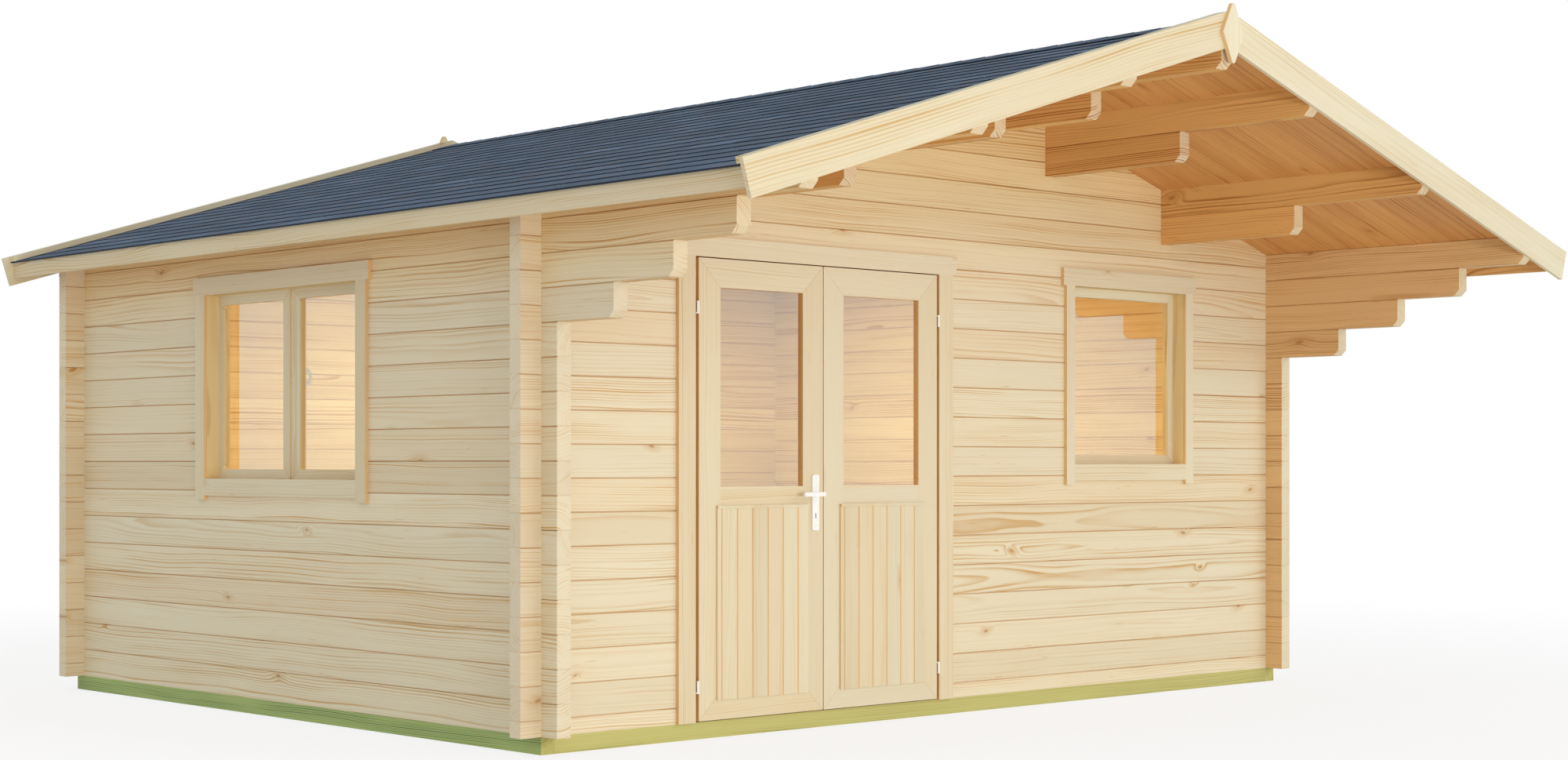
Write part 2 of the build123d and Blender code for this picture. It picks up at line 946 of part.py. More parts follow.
# Plates on both faces of the left leaf, with the lever's bearing and a keyhole
lever_x = lever_place(-1)
plate_faces = (leaf_front - plate_thickness, leaf_back)

with BuildPart() as door_plates:
    for plate_y in plate_faces:
        front_block(
            lever_x - plate_width / 2,
            lever_x + plate_width / 2,
            plate_y,
            plate_y + plate_thickness,
            lever_height - plate_drop - plate_height / 2,
            lever_height - plate_drop + plate_height / 2,
        )
    fillet(door_plates.edges().filter_by(Axis.Y), plate_corner)
    with BuildSketch(Plane.XZ.offset(-leaf_back - plate_thickness)):
        with Locations((lever_x, lever_height)):
            Circle(spindle_radius + spindle_play)
    extrude(amount=leaf_thickness + 2 * plate_thickness, mode=Mode.SUBTRACT)
    for keyhole_y in (plate_faces[0] + keyhole_depth, plate_faces[1] + plate_thickness):
        with BuildSketch(Plane.XZ.offset(-keyhole_y)):
            with Locations((lever_x, lever_height - keyhole_drop)):
                Rectangle(keyhole_width, keyhole_height)
        extrude(amount=keyhole_depth, mode=Mode.SUBTRACT)

# One lever outside and one in the room, turning together on the spindle
with BuildPart() as door_lever:
    outer_neck = plate_faces[0] - seat_gap
    inner_neck = plate_faces[1] + plate_thickness + seat_gap
    lever_out = outer_neck - lever_stand_off
    lever_in = inner_neck + lever_stand_off
    for bar_y in (lever_out, lever_in - lever_bar_depth):
        front_block(
            lever_x - lever_length,
            lever_x + lever_neck_radius,
            bar_y,
            bar_y + lever_bar_depth,
            lever_height - lever_bar_height / 2,
            lever_height + lever_bar_height / 2,
        )
    chamfer(door_lever.edges().filter_by(Axis.Y), lever_chamfer)
    for neck_y, reach in ((outer_neck, lever_stand_off), (lever_in, lever_stand_off)):
        with BuildSketch(Plane.XZ.offset(-neck_y)):
            with Locations((lever_x, lever_height)):
                Circle(lever_neck_radius)
        extrude(amount=reach)
    with BuildSketch(Plane.XZ.offset(-inner_neck)):
        with Locations((lever_x, lever_height)):
            Circle(spindle_radius)
    extrude(amount=inner_neck - outer_neck)

# Labels and files
nodes = {
    "foundation_side_beams": foundation_side_beams,
    "foundation_cross_beams": foundation_cross_beams,
    "floor": floor,
    "left_wall_odd_logs": left_wall_odd_logs,
    "left_wall_even_logs": left_wall_even_logs,
    "right_wall_odd_logs": right_wall_odd_logs,
    "right_wall_even_logs": right_wall_even_logs,
    "front_wall_odd_logs": front_wall_odd_logs,
    "front_wall_even_logs": front_wall_even_logs,
    "back_wall_odd_logs": back_wall_odd_logs,
    "back_wall_even_logs": back_wall_even_logs,
    "lower_purlins": lower_purlins,
    "upper_purlins": upper_purlins,
    "ridge_purlin": ridge_purlin,
    "purlin_corbels": purlin_corbels,
    "roof_boards_left": roof_boards_left,
    "roof_boards_right": roof_boards_right,
    "roof_covering_left": roof_covering_left,
    "roof_covering_right": roof_covering_right,
    "ridge_cap": ridge_cap,
    "left_verge_laths": left_verge_laths,
    "right_verge_laths": right_verge_laths,
    "left_barge_boards": left_barge_boards,
    "right_barge_boards": right_barge_boards,
    "eaves_fascias": eaves_fascias,
    "finials": finials,
    "casing_uprights": casing_uprights,
    "casing_heads": casing_heads,
    "window_aprons": window_aprons,
    "window_frames": window_frames,
    "window_sashes": window_sashes,
    "window_panes": window_panes,
    "window_handle": window_handle,
    "door_frame": door_frame,
    "left_door_leaf": left_door_leaf,
    "right_door_leaf": right_door_leaf,
    "left_door_glass": left_door_glass,
    "right_door_glass": right_door_glass,
    "left_door_panel": left_door_panel,
    "right_door_panel": right_door_panel,
    "frame_hinge_knuckles": frame_hinge_knuckles,
    "left_leaf_knuckles": left_leaf_knuckles,
    "right_leaf_knuckles": right_leaf_knuckles,
    "door_plates": door_plates,
    "door_lever": door_lever,
}
for name, piece in nodes.items():
    piece.part.label = name
    export_step(piece.part, f"parts/{name}.step")
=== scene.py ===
from collections import namedtuple
from math import atan, cos, pi, radians, sin
from random import Random

import bmesh
import bpy
from bpy.props import FloatProperty, FloatVectorProperty, PointerProperty
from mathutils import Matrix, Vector


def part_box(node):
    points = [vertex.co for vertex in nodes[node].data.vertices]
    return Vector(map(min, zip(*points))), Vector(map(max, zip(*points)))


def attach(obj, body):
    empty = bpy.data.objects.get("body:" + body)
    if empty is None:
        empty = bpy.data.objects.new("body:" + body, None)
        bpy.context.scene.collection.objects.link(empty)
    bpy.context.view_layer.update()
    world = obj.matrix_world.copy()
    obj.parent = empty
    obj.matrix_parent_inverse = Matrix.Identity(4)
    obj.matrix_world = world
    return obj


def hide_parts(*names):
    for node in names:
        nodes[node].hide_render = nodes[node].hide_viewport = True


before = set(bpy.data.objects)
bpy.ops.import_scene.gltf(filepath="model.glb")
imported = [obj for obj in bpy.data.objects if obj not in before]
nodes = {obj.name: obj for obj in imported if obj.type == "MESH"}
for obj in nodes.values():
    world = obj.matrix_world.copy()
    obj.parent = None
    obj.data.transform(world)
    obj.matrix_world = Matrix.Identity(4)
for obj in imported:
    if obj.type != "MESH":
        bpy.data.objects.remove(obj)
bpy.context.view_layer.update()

bl_info = {
    "name": "Log Cabin Finish",
    "version": (1, 0, 0),
    "blender": (4, 5, 0),
    "location": "View3D > Sidebar > Cabin",
    "description": "Timber, shingle, glass and metal finishes of a log cabin with a deep front canopy",
    "category": "Object",
}


def linear(red, green, blue):
    """A screen colour of 0 to 255 as the shader's own three numbers."""
    shares = (red / 255, green / 255, blue / 255)
    return tuple(s / 12.92 if s <= 0.04045 else ((s + 0.055) / 1.055) ** 2.4 for s in shares)


def colour(name, description, *screen):
    return FloatVectorProperty(
        name=name,
        description=description,
        subtype="COLOR",
        size=3,
        min=0,
        max=1,
        default=linear(*screen),
    )


def number(name, description, value, **kind):
    return FloatProperty(name=name, description=description, default=value, **kind)


def length(name, description, metres):
    return number(name, description, metres, unit="LENGTH", min=0)


def angle(name, description, degrees):
    return number(name, description, radians(degrees), subtype="ANGLE")


# Sizes that the packed solids give

ROOF_LOW, ROOF_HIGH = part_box("roof_boards_right")
RIDGE_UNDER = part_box("ridge_purlin")[1].z
EAVES_X = ROOF_HIGH.x
RISE = (RIDGE_UNDER - ROOF_LOW.z) / EAVES_X
PITCH = atan(RISE)
ROOF_FRONT, ROOF_REAR = ROOF_LOW.y, ROOF_HIGH.y
BOARD_THICKNESS = (ROOF_HIGH.z - RIDGE_UNDER) * cos(PITCH)
FLOOR_LOW, FLOOR_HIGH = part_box("floor")
SIDE_WALL_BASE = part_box("left_wall_odd_logs")[0].z
GABLE_WALL_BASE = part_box("front_wall_odd_logs")[0].z
SIDE_WALL_X = sum(v.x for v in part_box("right_wall_odd_logs")) / 2
PURLIN_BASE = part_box("lower_purlins")[0].z
GABLE_WALL_Y = sum(v.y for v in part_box("back_wall_odd_logs")) / 2

# Sizes of the part that no box gives

HALF_LOG = 0.067
FRONT_WINDOW_MIDDLE = 1.208
SIDE_WINDOW_HALF = 0.666
SASH_PLAY = 0.006
STILE_WIDTH = 0.1185
MID_RAIL_RISE, MID_RAIL_REACH = 0.027, 0.12
PANEL_LAP, PANEL_BOARD = 0.024, 0.087

# The two roof slopes: which way each falls, and its name
SLOPES = ((-1, "left"), (1, "right"))

# Millimetres across the camera's sensor
SENSOR_WIDTH = 36

# Piece numbers start far apart, so that no two timbers share their grain

FIRST_PIECE = dict(side_beams=60, cross_beams=80, floor=200, purlins=300, roof_boards=400, ridge_tabs=600)
FIRST_PIECE.update(uprights=500, eaves=520, windows=700, leaves=800, panels=850, door_frame=880, underlay=900)


class CabinTimber(bpy.types.PropertyGroup):
    """Colours and grain of the timber."""

    log_height: length("Log height", "Face height of one wall log", 0.134)
    butt: colour("Butt", "Pale end grain of sawn timber ends", 226, 212, 182)
    knot: colour("Knot", "Heart of a knot", 170, 108, 48)
    joint: colour("Joint", "Shade in the joints between timbers", 180, 130, 70)
    ring_width: length("Ring width", "Average width of a year ring", 0.0085)


# Each wood's name, where it is used, and the screen colours of its early wood and its year rings
for wood, use, pale, ring in (
    ("log", "the wall logs", (233, 223, 194), (205, 160, 92)),
    ("trim", "casings, barge boards and doors", (227, 217, 188), (205, 164, 98)),
    ("roof", "the roof boards", (228, 169, 101), (182, 110, 48)),
    # The purlin tones also paint warm shade in sheltered places, and warm light on the foundation beams'
    # front ends
    ("purlin", "purlins and the deepest shelter", (240, 191, 118), (182, 116, 54)),
    # The honey tones paint warm bounce light: in the room, under the canopy and eaves, and on window reveals
    ("honey", "the room and the walls under the canopy", (246, 214, 138), (202, 142, 62)),
    ("floor", "the floor boards", (232, 204, 152), (198, 144, 80)),
    ("green", "the treated cross beams", (196, 190, 118), (150, 138, 66)),
    # The side beams' tones are treated green made cooler, to paint the shade on their sides
    ("shaded_green", "the treated side beams", (188, 203, 122), (96, 120, 56)),
):
    title = wood.capitalize()
    CabinTimber.__annotations__[f"{wood}_pale"] = colour(f"{title} early wood", f"Pale wood of {use}", *pale)
    CabinTimber.__annotations__[f"{wood}_ring"] = colour(f"{title} late wood", f"Year rings of {use}", *ring)


class CabinRoof(bpy.types.PropertyGroup):
    """Boards and shingles of the roof."""

    board_width: length("Board width", "Cover width of a roof board", 0.096)
    board_bevel: length("Board bevel", "Bevel along a roof board's lower edges", 0.004)
    tab_width: length("Tab width", "Width of one shingle tab", 0.333)
    tab_slot: length("Tab slot", "Slot between two shingle tabs", 0.005)
    exposure: length("Exposure", "Height of a shingle course that shows", 0.14)
    base: length("Base", "Thickness of the covering under the tabs", 0.004)
    step: length("Step", "Height of a tab's butt above the course below", 0.004)
    slate: colour("Slate", "Main colour of the shingle granules", 90, 105, 130)
    slate_dark: colour("Dark slate", "Darker granules of the shingles", 50, 58, 72)
    slate_pale: colour("Pale slate", "Paler tabs among the shingles", 116, 136, 164)
    butt: colour("Butt", "Cut edges of the shingle tabs", 30, 32, 40)
    fleck: colour("Fleck", "Reddish brown granules", 128, 102, 92)


class CabinFittings(bpy.types.PropertyGroup):
    """Glass, metal and floor boards of the cabin."""

    metal: colour("Metal", "Gloss white of the handles and hinges", 246, 245, 241)
    # The keyhole colour is painted shade in place of the keyholes' hollows
    keyhole_shade: colour("Keyhole", "Dark inside of the keyholes", 96, 94, 90)
    keyhole_width: length("Keyhole width", "Width of the dark part of a keyhole", 0.005)
    keyhole_height: length("Keyhole height", "Height of the dark part of a keyhole", 0.02)
    keyhole_rise: length("Keyhole rise", "Height of the keyholes above the plates' lower ends", 0.063)
    glass: colour("Glass", "Tint of the panes", 250, 252, 250)
    glass_ior: number("Glass gloss", "Index of refraction, high for a bright mirror image", 2.5)
    floor_board: length("Floor board", "Cover width of a floor board", 0.088)
    screw_radius: length("Screw radius", "Radius of the handle plates' screw heads", 0.0042)
    screw_inset: length("Screw inset", "Distance of the screw heads from the plates' ends", 0.016)
    screw_rise: length("Screw rise", "Height of the screw heads on the plates", 0.0009)


class CabinStage(bpy.types.PropertyGroup):
    """Camera, lights and floor round the cabin."""

    camera_place: FloatVectorProperty(
        name="Camera",
        description="Where the camera stands",
        subtype="TRANSLATION",
        unit="LENGTH",
        default=(-8.176, -9.4018, 1.1317),
    )
    camera_turn: angle("Camera turn", "Turn of the level camera from straight along the depth", -42.69)
    camera_lens: number("Lens", "Focal length on a 36 mm sensor, in millimetres", 55.857)
    shift_x: number("Shift across", "Lens shift as a share of the width", 0.0166)
    shift_y: number("Shift up", "Lens shift as a share of the width", 0.0531)
    sky: number("Sky", "Strength of the even light from all round", 0.75)
    sun: number("Sun", "Strength of the soft light from the front right", 0.52)
    fill: number("Low fill", "Power of the low soft light from the front left", 760, unit="POWER")
    sun_softness: angle("Sun softness", "Apparent size of the soft light", 40)
    room_light: number("Room light", "Power of the soft light in the room", 100, unit="POWER")
    room_colour: colour("Room light colour", "Colour of the soft light in the room", 255, 248, 204)
    mirrored: colour("Mirrored", "Cool colour of the surroundings in mirror images", 196, 231, 238)
    floor: colour("Floor", "Colour of the plain floor", 246, 246, 246)
    floor_size: length("Floor size", "Side of the plain floor", 160)


def signal_sum(operation, swapped=False):
    """A method that puts a signal and what stands beside it through one math node."""

    def apply(self, *others):
        values = (*others, self) if swapped else (self, *others)
        return self.wiring.math(operation, *values)

    return apply


class Signal:
    """A value on its way through a shader tree, for writing plain sums."""

    def __init__(self, wiring, socket):
        self.wiring = wiring
        self.socket = socket

    __add__ = signal_sum("ADD")
    __radd__ = signal_sum("ADD", swapped=True)
    __sub__ = signal_sum("SUBTRACT")
    __rsub__ = signal_sum("SUBTRACT", swapped=True)
    __mul__ = signal_sum("MULTIPLY")
    __truediv__ = signal_sum("DIVIDE")
    __abs__ = signal_sum("ABSOLUTE")
    floor = signal_sum("FLOOR")
    sign = signal_sum("SIGN")
    exp = signal_sum("EXPONENT")
    root = signal_sum("SQRT")
    least = signal_sum("MINIMUM")
    most = signal_sum("MAXIMUM")
    above = signal_sum("GREATER_THAN")
    below = signal_sum("LESS_THAN")


def hypot(across, up):
    return (across * across + up * up).root()


class Wiring:
    """Adds and links the nodes of one shader tree."""

    # Slots of a Mix node: the share and both sides for values and for colours, and the colours' output
    VALUE_SLOTS, COLOUR_SLOTS, COLOUR_OUTPUT = (0, 2, 3), (0, 6, 7), 2

    def __init__(self, tree):
        self.tree = tree

    def node(self, kind, **settings):
        made = self.tree.nodes.new("ShaderNode" + kind)
        for key, value in settings.items():
            setattr(made, key, value)
        return made

    def feed(self, socket, value):
        if isinstance(value, Signal):
            self.tree.links.new(value.socket, socket)
        elif socket.type == "RGBA":
            socket.default_value = (*value[:3], 1)
        else:
            socket.default_value = value

    def out(self, made, output=0):
        return Signal(self, made.outputs[output])

    def fed(self, made, values, slots=None, output=0):
        """One output of a node, once the values are in its first inputs or in the slots given."""
        for slot, value in zip(slots or range(len(values)), values):
            self.feed(made.inputs[slot], value)
        return self.out(made, output)

    def math(self, operation, *values):
        return self.fed(self.node("Math", operation=operation), values)

    def fade(self, value, start, end, low=0.0, high=1.0):
        """A smooth change from low to high as the value goes from start to end."""
        made = self.node("MapRange", interpolation_type="SMOOTHSTEP")
        return self.fed(made, (value, start, end, low, high))

    def blend(self, share, first, second):
        """The first value at share 0, the second at 1."""
        made = self.node("Mix", data_type="FLOAT")
        return self.fed(made, (share, first, second), self.VALUE_SLOTS)

    def tint(self, share, first, second, how="MIX"):
        """The first colour at share 0, the second laid over it at 1."""
        made = self.node("Mix", data_type="RGBA", blend_type=how)
        return self.fed(made, (share, first, second), self.COLOUR_SLOTS, self.COLOUR_OUTPUT)

    def join(self, *values):
        return self.fed(self.node("CombineXYZ"), values)

    def split(self, vector):
        made = self.node("SeparateXYZ")
        self.feed(made.inputs[0], vector)
        return [self.out(made, i) for i in range(3)]

    def noise(self, vector, scale=1.0, detail=2.0):
        """Smooth noise, about -0.5 to 0.5."""
        made = self.node("TexNoise", noise_dimensions="3D")
        return self.fed(made, (vector, scale, detail), ("Vector", "Scale", "Detail"), "Fac") - 0.5

    def wave(self, value):
        """Smooth noise along one value, about -0.5 to 0.5."""
        made = self.node("TexNoise", noise_dimensions="1D")
        return self.fed(made, (value, 1.0, 1.0), ("W", "Scale", "Detail"), "Fac") - 0.5

    def dice(self, value):
        """Three steady random numbers of 0 to 1 for a value."""
        made = self.node("TexWhiteNoise", noise_dimensions="1D")
        return self.split(self.fed(made, (value,), ("W",), "Color"))

    def attribute(self, name, output):
        return self.out(self.node("Attribute", attribute_name=name), output)

    def group(self, tree, **values):
        made = self.node("Group", node_tree=tree)
        self.fed(made, values.values(), values.keys())
        return made


def timber_group():
    """Solid spruce: year rings round a wandering pith, with knots, fibres and a tone for each timber."""
    title = "Timber grain"
    found = bpy.data.node_groups.get(title)
    if found:
        return found
    tree = bpy.data.node_groups.new(title, "ShaderNodeTree")
    for way, kind, names in (
        ("INPUT", "Vector", ("Place",)),
        ("INPUT", "Float", ("Piece", "End", "Ring", "Bold", "Knots")),
        ("INPUT", "Color", ("Early", "Late", "Knot", "Butt")),
        ("OUTPUT", "Color", ("Color",)),
        ("OUTPUT", "Float", ("Roughness", "Height")),
    ):
        for name in names:
            tree.interface.new_socket(name, in_out=way, socket_type="NodeSocket" + kind)
    w = Wiring(tree)
    given = {socket.name: Signal(w, socket) for socket in tree.nodes.new("NodeGroupInput").outputs}
    sink = tree.nodes.new("NodeGroupOutput")
    along, across, deep = w.split(given["Place"])
    piece, end, early_wood, late_wood = (given[key] for key in ("Piece", "End", "Early", "Late"))

    # Steps that set the noise of one timber apart from that of the next
    second_draw, pith_draw, depth_draw, sway_draw, sway_deep_draw = 71.3, 57, 91, 31, 17
    knot_draw, knot_row_draw, ring_draw, drift_draw, cloud_draw, resin_draw = 43, 29, 13.7, 37, 19, 53
    r1, r2, r3 = w.dice(piece)
    r4, r5, r6 = w.dice(piece + second_draw)

    def stretched(long_rate, cross_rate, shift=0.0, deep_shift=0.0, detail=2.0):
        """Noise drawn out along the timber."""
        place = w.join(along * long_rate + shift, across * cross_rate, deep * cross_rate + deep_shift)
        return w.noise(place, detail=detail)

    # The pith wanders beside the timber and leans along it
    pith_spread, pith_bend, pith_rate = 0.62, 0.038, 0.9
    depth_spread, depth_bend, depth_rate, lean = 0.26, 0.03, 0.7, 0.016
    sway_reach = 0.011
    pith_across = (r1 - 0.5) * pith_spread + w.wave(along * pith_rate + r1 * pith_draw) * pith_bend
    pith_deep = (r2 - 0.5) * depth_spread + w.wave(along * depth_rate + r2 * depth_draw) * depth_bend
    pith_deep = pith_deep + along * (r3 - 0.5) * lean
    reach = hypot(across - pith_across, deep - pith_deep)
    sway = stretched(long_rate=1.7, cross_rate=8, shift=r4 * sway_draw, deep_shift=r5 * sway_deep_draw)

    # Knots: rings bulge round a sparse scatter of branch hearts
    cell_long, cell_wide = 0.62, 0.15
    knot_share, knot_stretch, knot_slant, knot_least, knot_range = 0.42, 2.3, 0.5, 0.6, 0.9
    swell_reach, swell_push = 0.024, 0.021
    cell_at = w.join(along / cell_long + r5 * knot_draw, across / cell_wide + r6 * knot_row_draw, 0.0)
    scatter = w.node("TexVoronoi", voronoi_dimensions="2D")
    pick, size, tilt = w.split(w.fed(scatter, (cell_at, 1.0), ("Vector", "Scale"), "Color"))
    heart_x, heart_y, _ = w.split(w.out(scatter, "Position"))
    at_x, at_y, _ = w.split(cell_at)
    off_long = (at_x - heart_x) * cell_long
    off_wide = (at_y - heart_y) * cell_wide
    branch = pick.above(1 - given["Knots"] * knot_share)
    apart = hypot(off_long / knot_stretch, off_wide + off_long * (tilt - 0.5) * knot_slant)
    apart = apart / (size * knot_range + knot_least)
    swell = branch * (apart / swell_reach * (apart / -swell_reach)).exp()

    # Year rings of uneven width and strength, which fade in and out along the timber
    width_least, width_range, beat_rate, beat = 0.75, 0.9, 0.43, 1.6
    dark_least, dark_range, strong_least, strong_range = 0.3, 0.7, 0.45, 0.7
    ring_at = reach + sway * sway_reach + swell * swell_push
    ring_at = ring_at / (given["Ring"] * (width_least + r3 * width_range))
    ring_at = ring_at + w.wave(ring_at * beat_rate + piece) * beat
    ring = ring_at.floor()
    ring_share = ring_at - ring
    profile = w.fade(ring_share, start=0.35, end=0.9) * w.fade(ring_share, start=1.0, end=0.93)
    ring_dark, _, _ = w.dice(ring + piece * ring_draw)
    drift = stretched(long_rate=1.2, cross_rate=15, shift=r2 * drift_draw)
    clear = w.fade(drift, start=-0.14, end=0.16, low=0.22)
    strength = (ring_dark * ring_dark * dark_range + dark_least) * (r4 * strong_range + strong_least)
    late = profile * strength * clear * given["Bold"]

    # Fibres, resin streaks and soft cloudy changes along the timber
    fibre = stretched(long_rate=5, cross_rate=420)
    cloud = stretched(long_rate=1.3, cross_rate=6, shift=r6 * cloud_draw)
    resin = stretched(long_rate=8, cross_rate=130, shift=r3 * resin_draw, detail=1.0)
    streak = w.fade(resin, start=0.19, end=0.30, high=0.55) * w.fade(cloud, start=-0.02, end=0.16)
    heart = branch * w.fade(apart, start=0.0095, end=0.003)
    halo = branch * w.fade(apart, start=0.034, end=0.008)

    tone_least, tone_range, tone_cloud = 0.06, 0.20, 0.22
    butt_share, butt_ease, halo_share, heart_share = 0.7, 0.35, 0.34, 0.62
    level_least, level_range, level_fibre = 0.95, 0.07, 0.10
    body = w.tint(r5 * tone_range + cloud * tone_cloud + tone_least, early_wood, late_wood)
    for share, over in (
        (end * butt_share, given["Butt"]),
        (late * (1 - end * butt_ease), late_wood),
        (streak * (1 - end), late_wood),
        (halo * halo_share, late_wood),
        (heart * heart_share, given["Knot"]),
    ):
        body = w.tint(share, body, over)
    level = level_least + r6 * level_range + fibre * level_fibre
    body = w.tint(1.0, body, w.join(level, level, level), "MULTIPLY")

    rough, rough_fibre, rough_late = 0.58, 0.2, 0.1
    rise, rise_fibre, rise_late, rise_heart = 0.5, 0.5, 0.35, -0.3
    w.feed(sink.inputs["Color"], body)
    w.feed(sink.inputs["Roughness"], rough + fibre * rough_fibre - late * rough_late)
    w.feed(sink.inputs["Height"], rise + fibre * rise_fibre + late * rise_late + heart * rise_heart)
    return tree


def new_material(name):
    material = bpy.data.materials.new(name)
    material.use_nodes = True
    wiring = Wiring(material.node_tree)
    return material, wiring, material.node_tree.nodes["Principled BSDF"]


def bump(w, shader, height, metres, strength=1.0):
    normal = w.fed(w.node("Bump"), (height, metres, strength), ("Height", "Distance", "Strength"))
    w.feed(shader.inputs["Normal"], normal)


# Where a point lies in its own timber, the shares of end grain, joint shade, painted warm bounce light (honey
# tones) and painted warm shade and light (purlin tones) there, and the strength of the grain
Lay = namedtuple("Lay", "place piece end joint honey warm bold", defaults=(0.0, None, None, None, None))

GRAIN_RISE = 0.0006
LOG_BOLD = 1.3


def timber_material(name, wood, lay, bold=LOG_BOLD, knots=0.34, **layout):
    """A timber finish in one wood, whose layout says where each point lies in its own timber."""
    timber = bpy.context.scene.cabin_timber

    def tones(kind):
        return getattr(timber, f"{kind}_pale"), getattr(timber, f"{kind}_ring")

    material, w, shader = new_material(name)
    laid = lay(w, **layout)
    early, late = tones(wood)
    # Painted light and shade: honey tones for warm bounce light, purlin tones for warm shade and some warm
    # light
    for share, kind in ((laid.honey, "honey"), (laid.warm, "purlin")):
        if share is not None:
            pale, ring = tones(kind)
            early = w.tint(share, early, pale)
            late = w.tint(share, late, ring)
    grain = w.group(
        timber_group(),
        Place=laid.place,
        Piece=laid.piece,
        End=laid.end,
        Early=early,
        Late=late,
        Knot=timber.knot,
        Butt=timber.butt,
        Ring=timber.ring_width,
        Bold=bold if laid.bold is None else laid.bold,
        Knots=knots,
    )
    body = w.out(grain, "Color")
    if laid.joint is not None:
        body = w.tint(laid.joint, body, timber.joint)
    w.fed(shader, (body, w.out(grain, "Roughness")), ("Base Color", "Roughness"))
    bump(w, shader, w.out(grain, "Height"), GRAIN_RISE)
    return material


def coordinates(w):
    """Where a point lies in the cabin, and the way its face looks."""
    source = w.node("TexCoord")
    return w.split(w.out(source, "Object")), w.split(w.out(source, "Normal"))


def end_face(w, facing):
    return w.fade(abs(facing), start=0.5, end=0.65)


def logs(w, axis, base, middle):
    """Wall logs lying along an axis in courses."""
    course_step, wall_step, axis_step = 3.17, 41.3, 7.7
    patch_rate, patch_step, patch_range, patch_least = 2.1, 7.3, 0.4, 0.2
    turned = 0.5
    room_bounce, wing_shade, bounce_bold = 0.4, 0.72, 1.4
    stub_clear, stub_shade = 0.035, 0.2
    height = bpy.context.scene.cabin_timber.log_height
    at, facing = coordinates(w)
    level = (at[2] - base) / height
    course = level.floor()
    share = level - course
    cross = at[1 - axis]
    piece = course * course_step + cross.sign() * wall_step + axis * axis_step
    place = w.join(at[axis], (share - 0.5) * height, abs(cross) - middle)
    patchy = w.wave(at[axis] * patch_rate + course * patch_step) * patch_range + patch_least
    joint = w.fade(share.least(1 - share) * height, start=0.0050, end=0.0008) * patchy
    # Faces turned to the room, and those high under the canopy and the eaves, get painted warm bounce light
    # in the honey tones
    inner = (facing[1 - axis] * cross.sign()).below(-turned)
    # Painted warm shade on the V-groove faces between the logs, in purlin tones
    groove_shade = w.fade(abs(facing[2]), start=0.3, end=0.5, high=0.42)
    if axis == 0:
        room = abs(at[0]).below(SIDE_WALL_X)
        high = w.fade(at[2], start=1.8, end=2.7, high=0.6) * at[1].below(0.0)
        warm = groove_shade
        # Painted shade on the front faces of the log stubs beyond the side walls, carried in the joint shade
        stub = abs(at[0]).above(SIDE_WALL_X + stub_clear) * facing[1].below(-turned)
        joint = joint.most(stub * stub_shade)
    else:
        room = abs(at[1]).below(GABLE_WALL_Y)
        high = w.fade(at[2], start=1.7, end=2.15, high=0.65) * (1 - inner)
        # Painted warm shade on the inward faces of the wing logs in front of the front wall
        warm = (at[1].below(-GABLE_WALL_Y) * inner * wing_shade).most(groove_shade)
    honey = (room * inner * room_bounce).most(high)
    bold = LOG_BOLD + honey * bounce_bold
    return Lay(place, piece, end_face(w, facing[axis]), joint, honey, warm, bold)


def cells(value, size, offset=0.5):
    """The number of the cell that a value lies in."""
    return (value / size + offset).floor()


def within(value, size, offset=0.5):
    """How far a value lies from the middle of its cell."""
    return value - (cells(value, size, offset) + 0.5 - offset) * size


def timbers(w, axis, rule, treated=False, shelter=None):
    """Separate timbers along an axis.

    The rule gives a point's place across its timber, and the timber's number.
    """
    at, facing = coordinates(w)
    across, deep, piece = rule(at)
    end = 0.0 if treated else end_face(w, facing[axis])
    # The shelter rule gives the share of painted warm shading
    warm = shelter(w, at, facing) if shelter else None
    return Lay(w.join(at[axis], across, deep), piece, end, warm=warm)


def turned_aside(w, at, facing):
    """Edges that don't look straight out of the front, or out of the side wall on its own trim."""
    side_share = 0.9
    side = at[0].below(-SIDE_WALL_X * side_share)
    outward = w.blend(side, abs(facing[1]), abs(facing[0]))
    return w.fade(outward, start=0.6, end=0.4)


def casing_edge_shade(w, at, facing):
    # Painted warm shade on the casings' side faces, which look away from the front
    edge_shade = 0.7
    return turned_aside(w, at, facing) * edge_shade


def beam_end_light(w, at, facing):
    # Painted warm light on the end faces of the side beams, as on the lit front
    end_light = 0.3
    return end_face(w, facing[1]) * end_light


def panel_groove_shade(w, at, facing):
    # Painted warm shade on the panels' V-groove faces
    return w.fade(abs(facing[1]), start=0.95, end=0.8, high=0.6)


def eaves_inside_shade(w, at, facing):
    # Painted warm shade on the fascias' faces turned inward
    turned, inside_shade = 0.5, 0.9
    return (facing[0] * at[0].sign()).below(-turned) * inside_shade


def level_trim(w):
    """Casing heads and aprons: along the front, or along the side wall."""
    side_clear, row_height, window_from = 0.02, 0.5, 0.4
    side_step, window_step, row_step = 13, 7.1, 3.3
    at, facing = coordinates(w)
    side = at[0].below(-SIDE_WALL_X - side_clear)
    along = w.blend(side, at[0], at[1])
    deep = w.blend(side, at[1] + GABLE_WALL_Y, at[0] + SIDE_WALL_X)
    place = w.join(along, within(at[2], row_height), deep)
    window = at[0].above(window_from)
    piece = side * side_step + window * window_step + cells(at[2], row_height) * row_step
    return Lay(place, piece, warm=casing_edge_shade(w, at, facing))


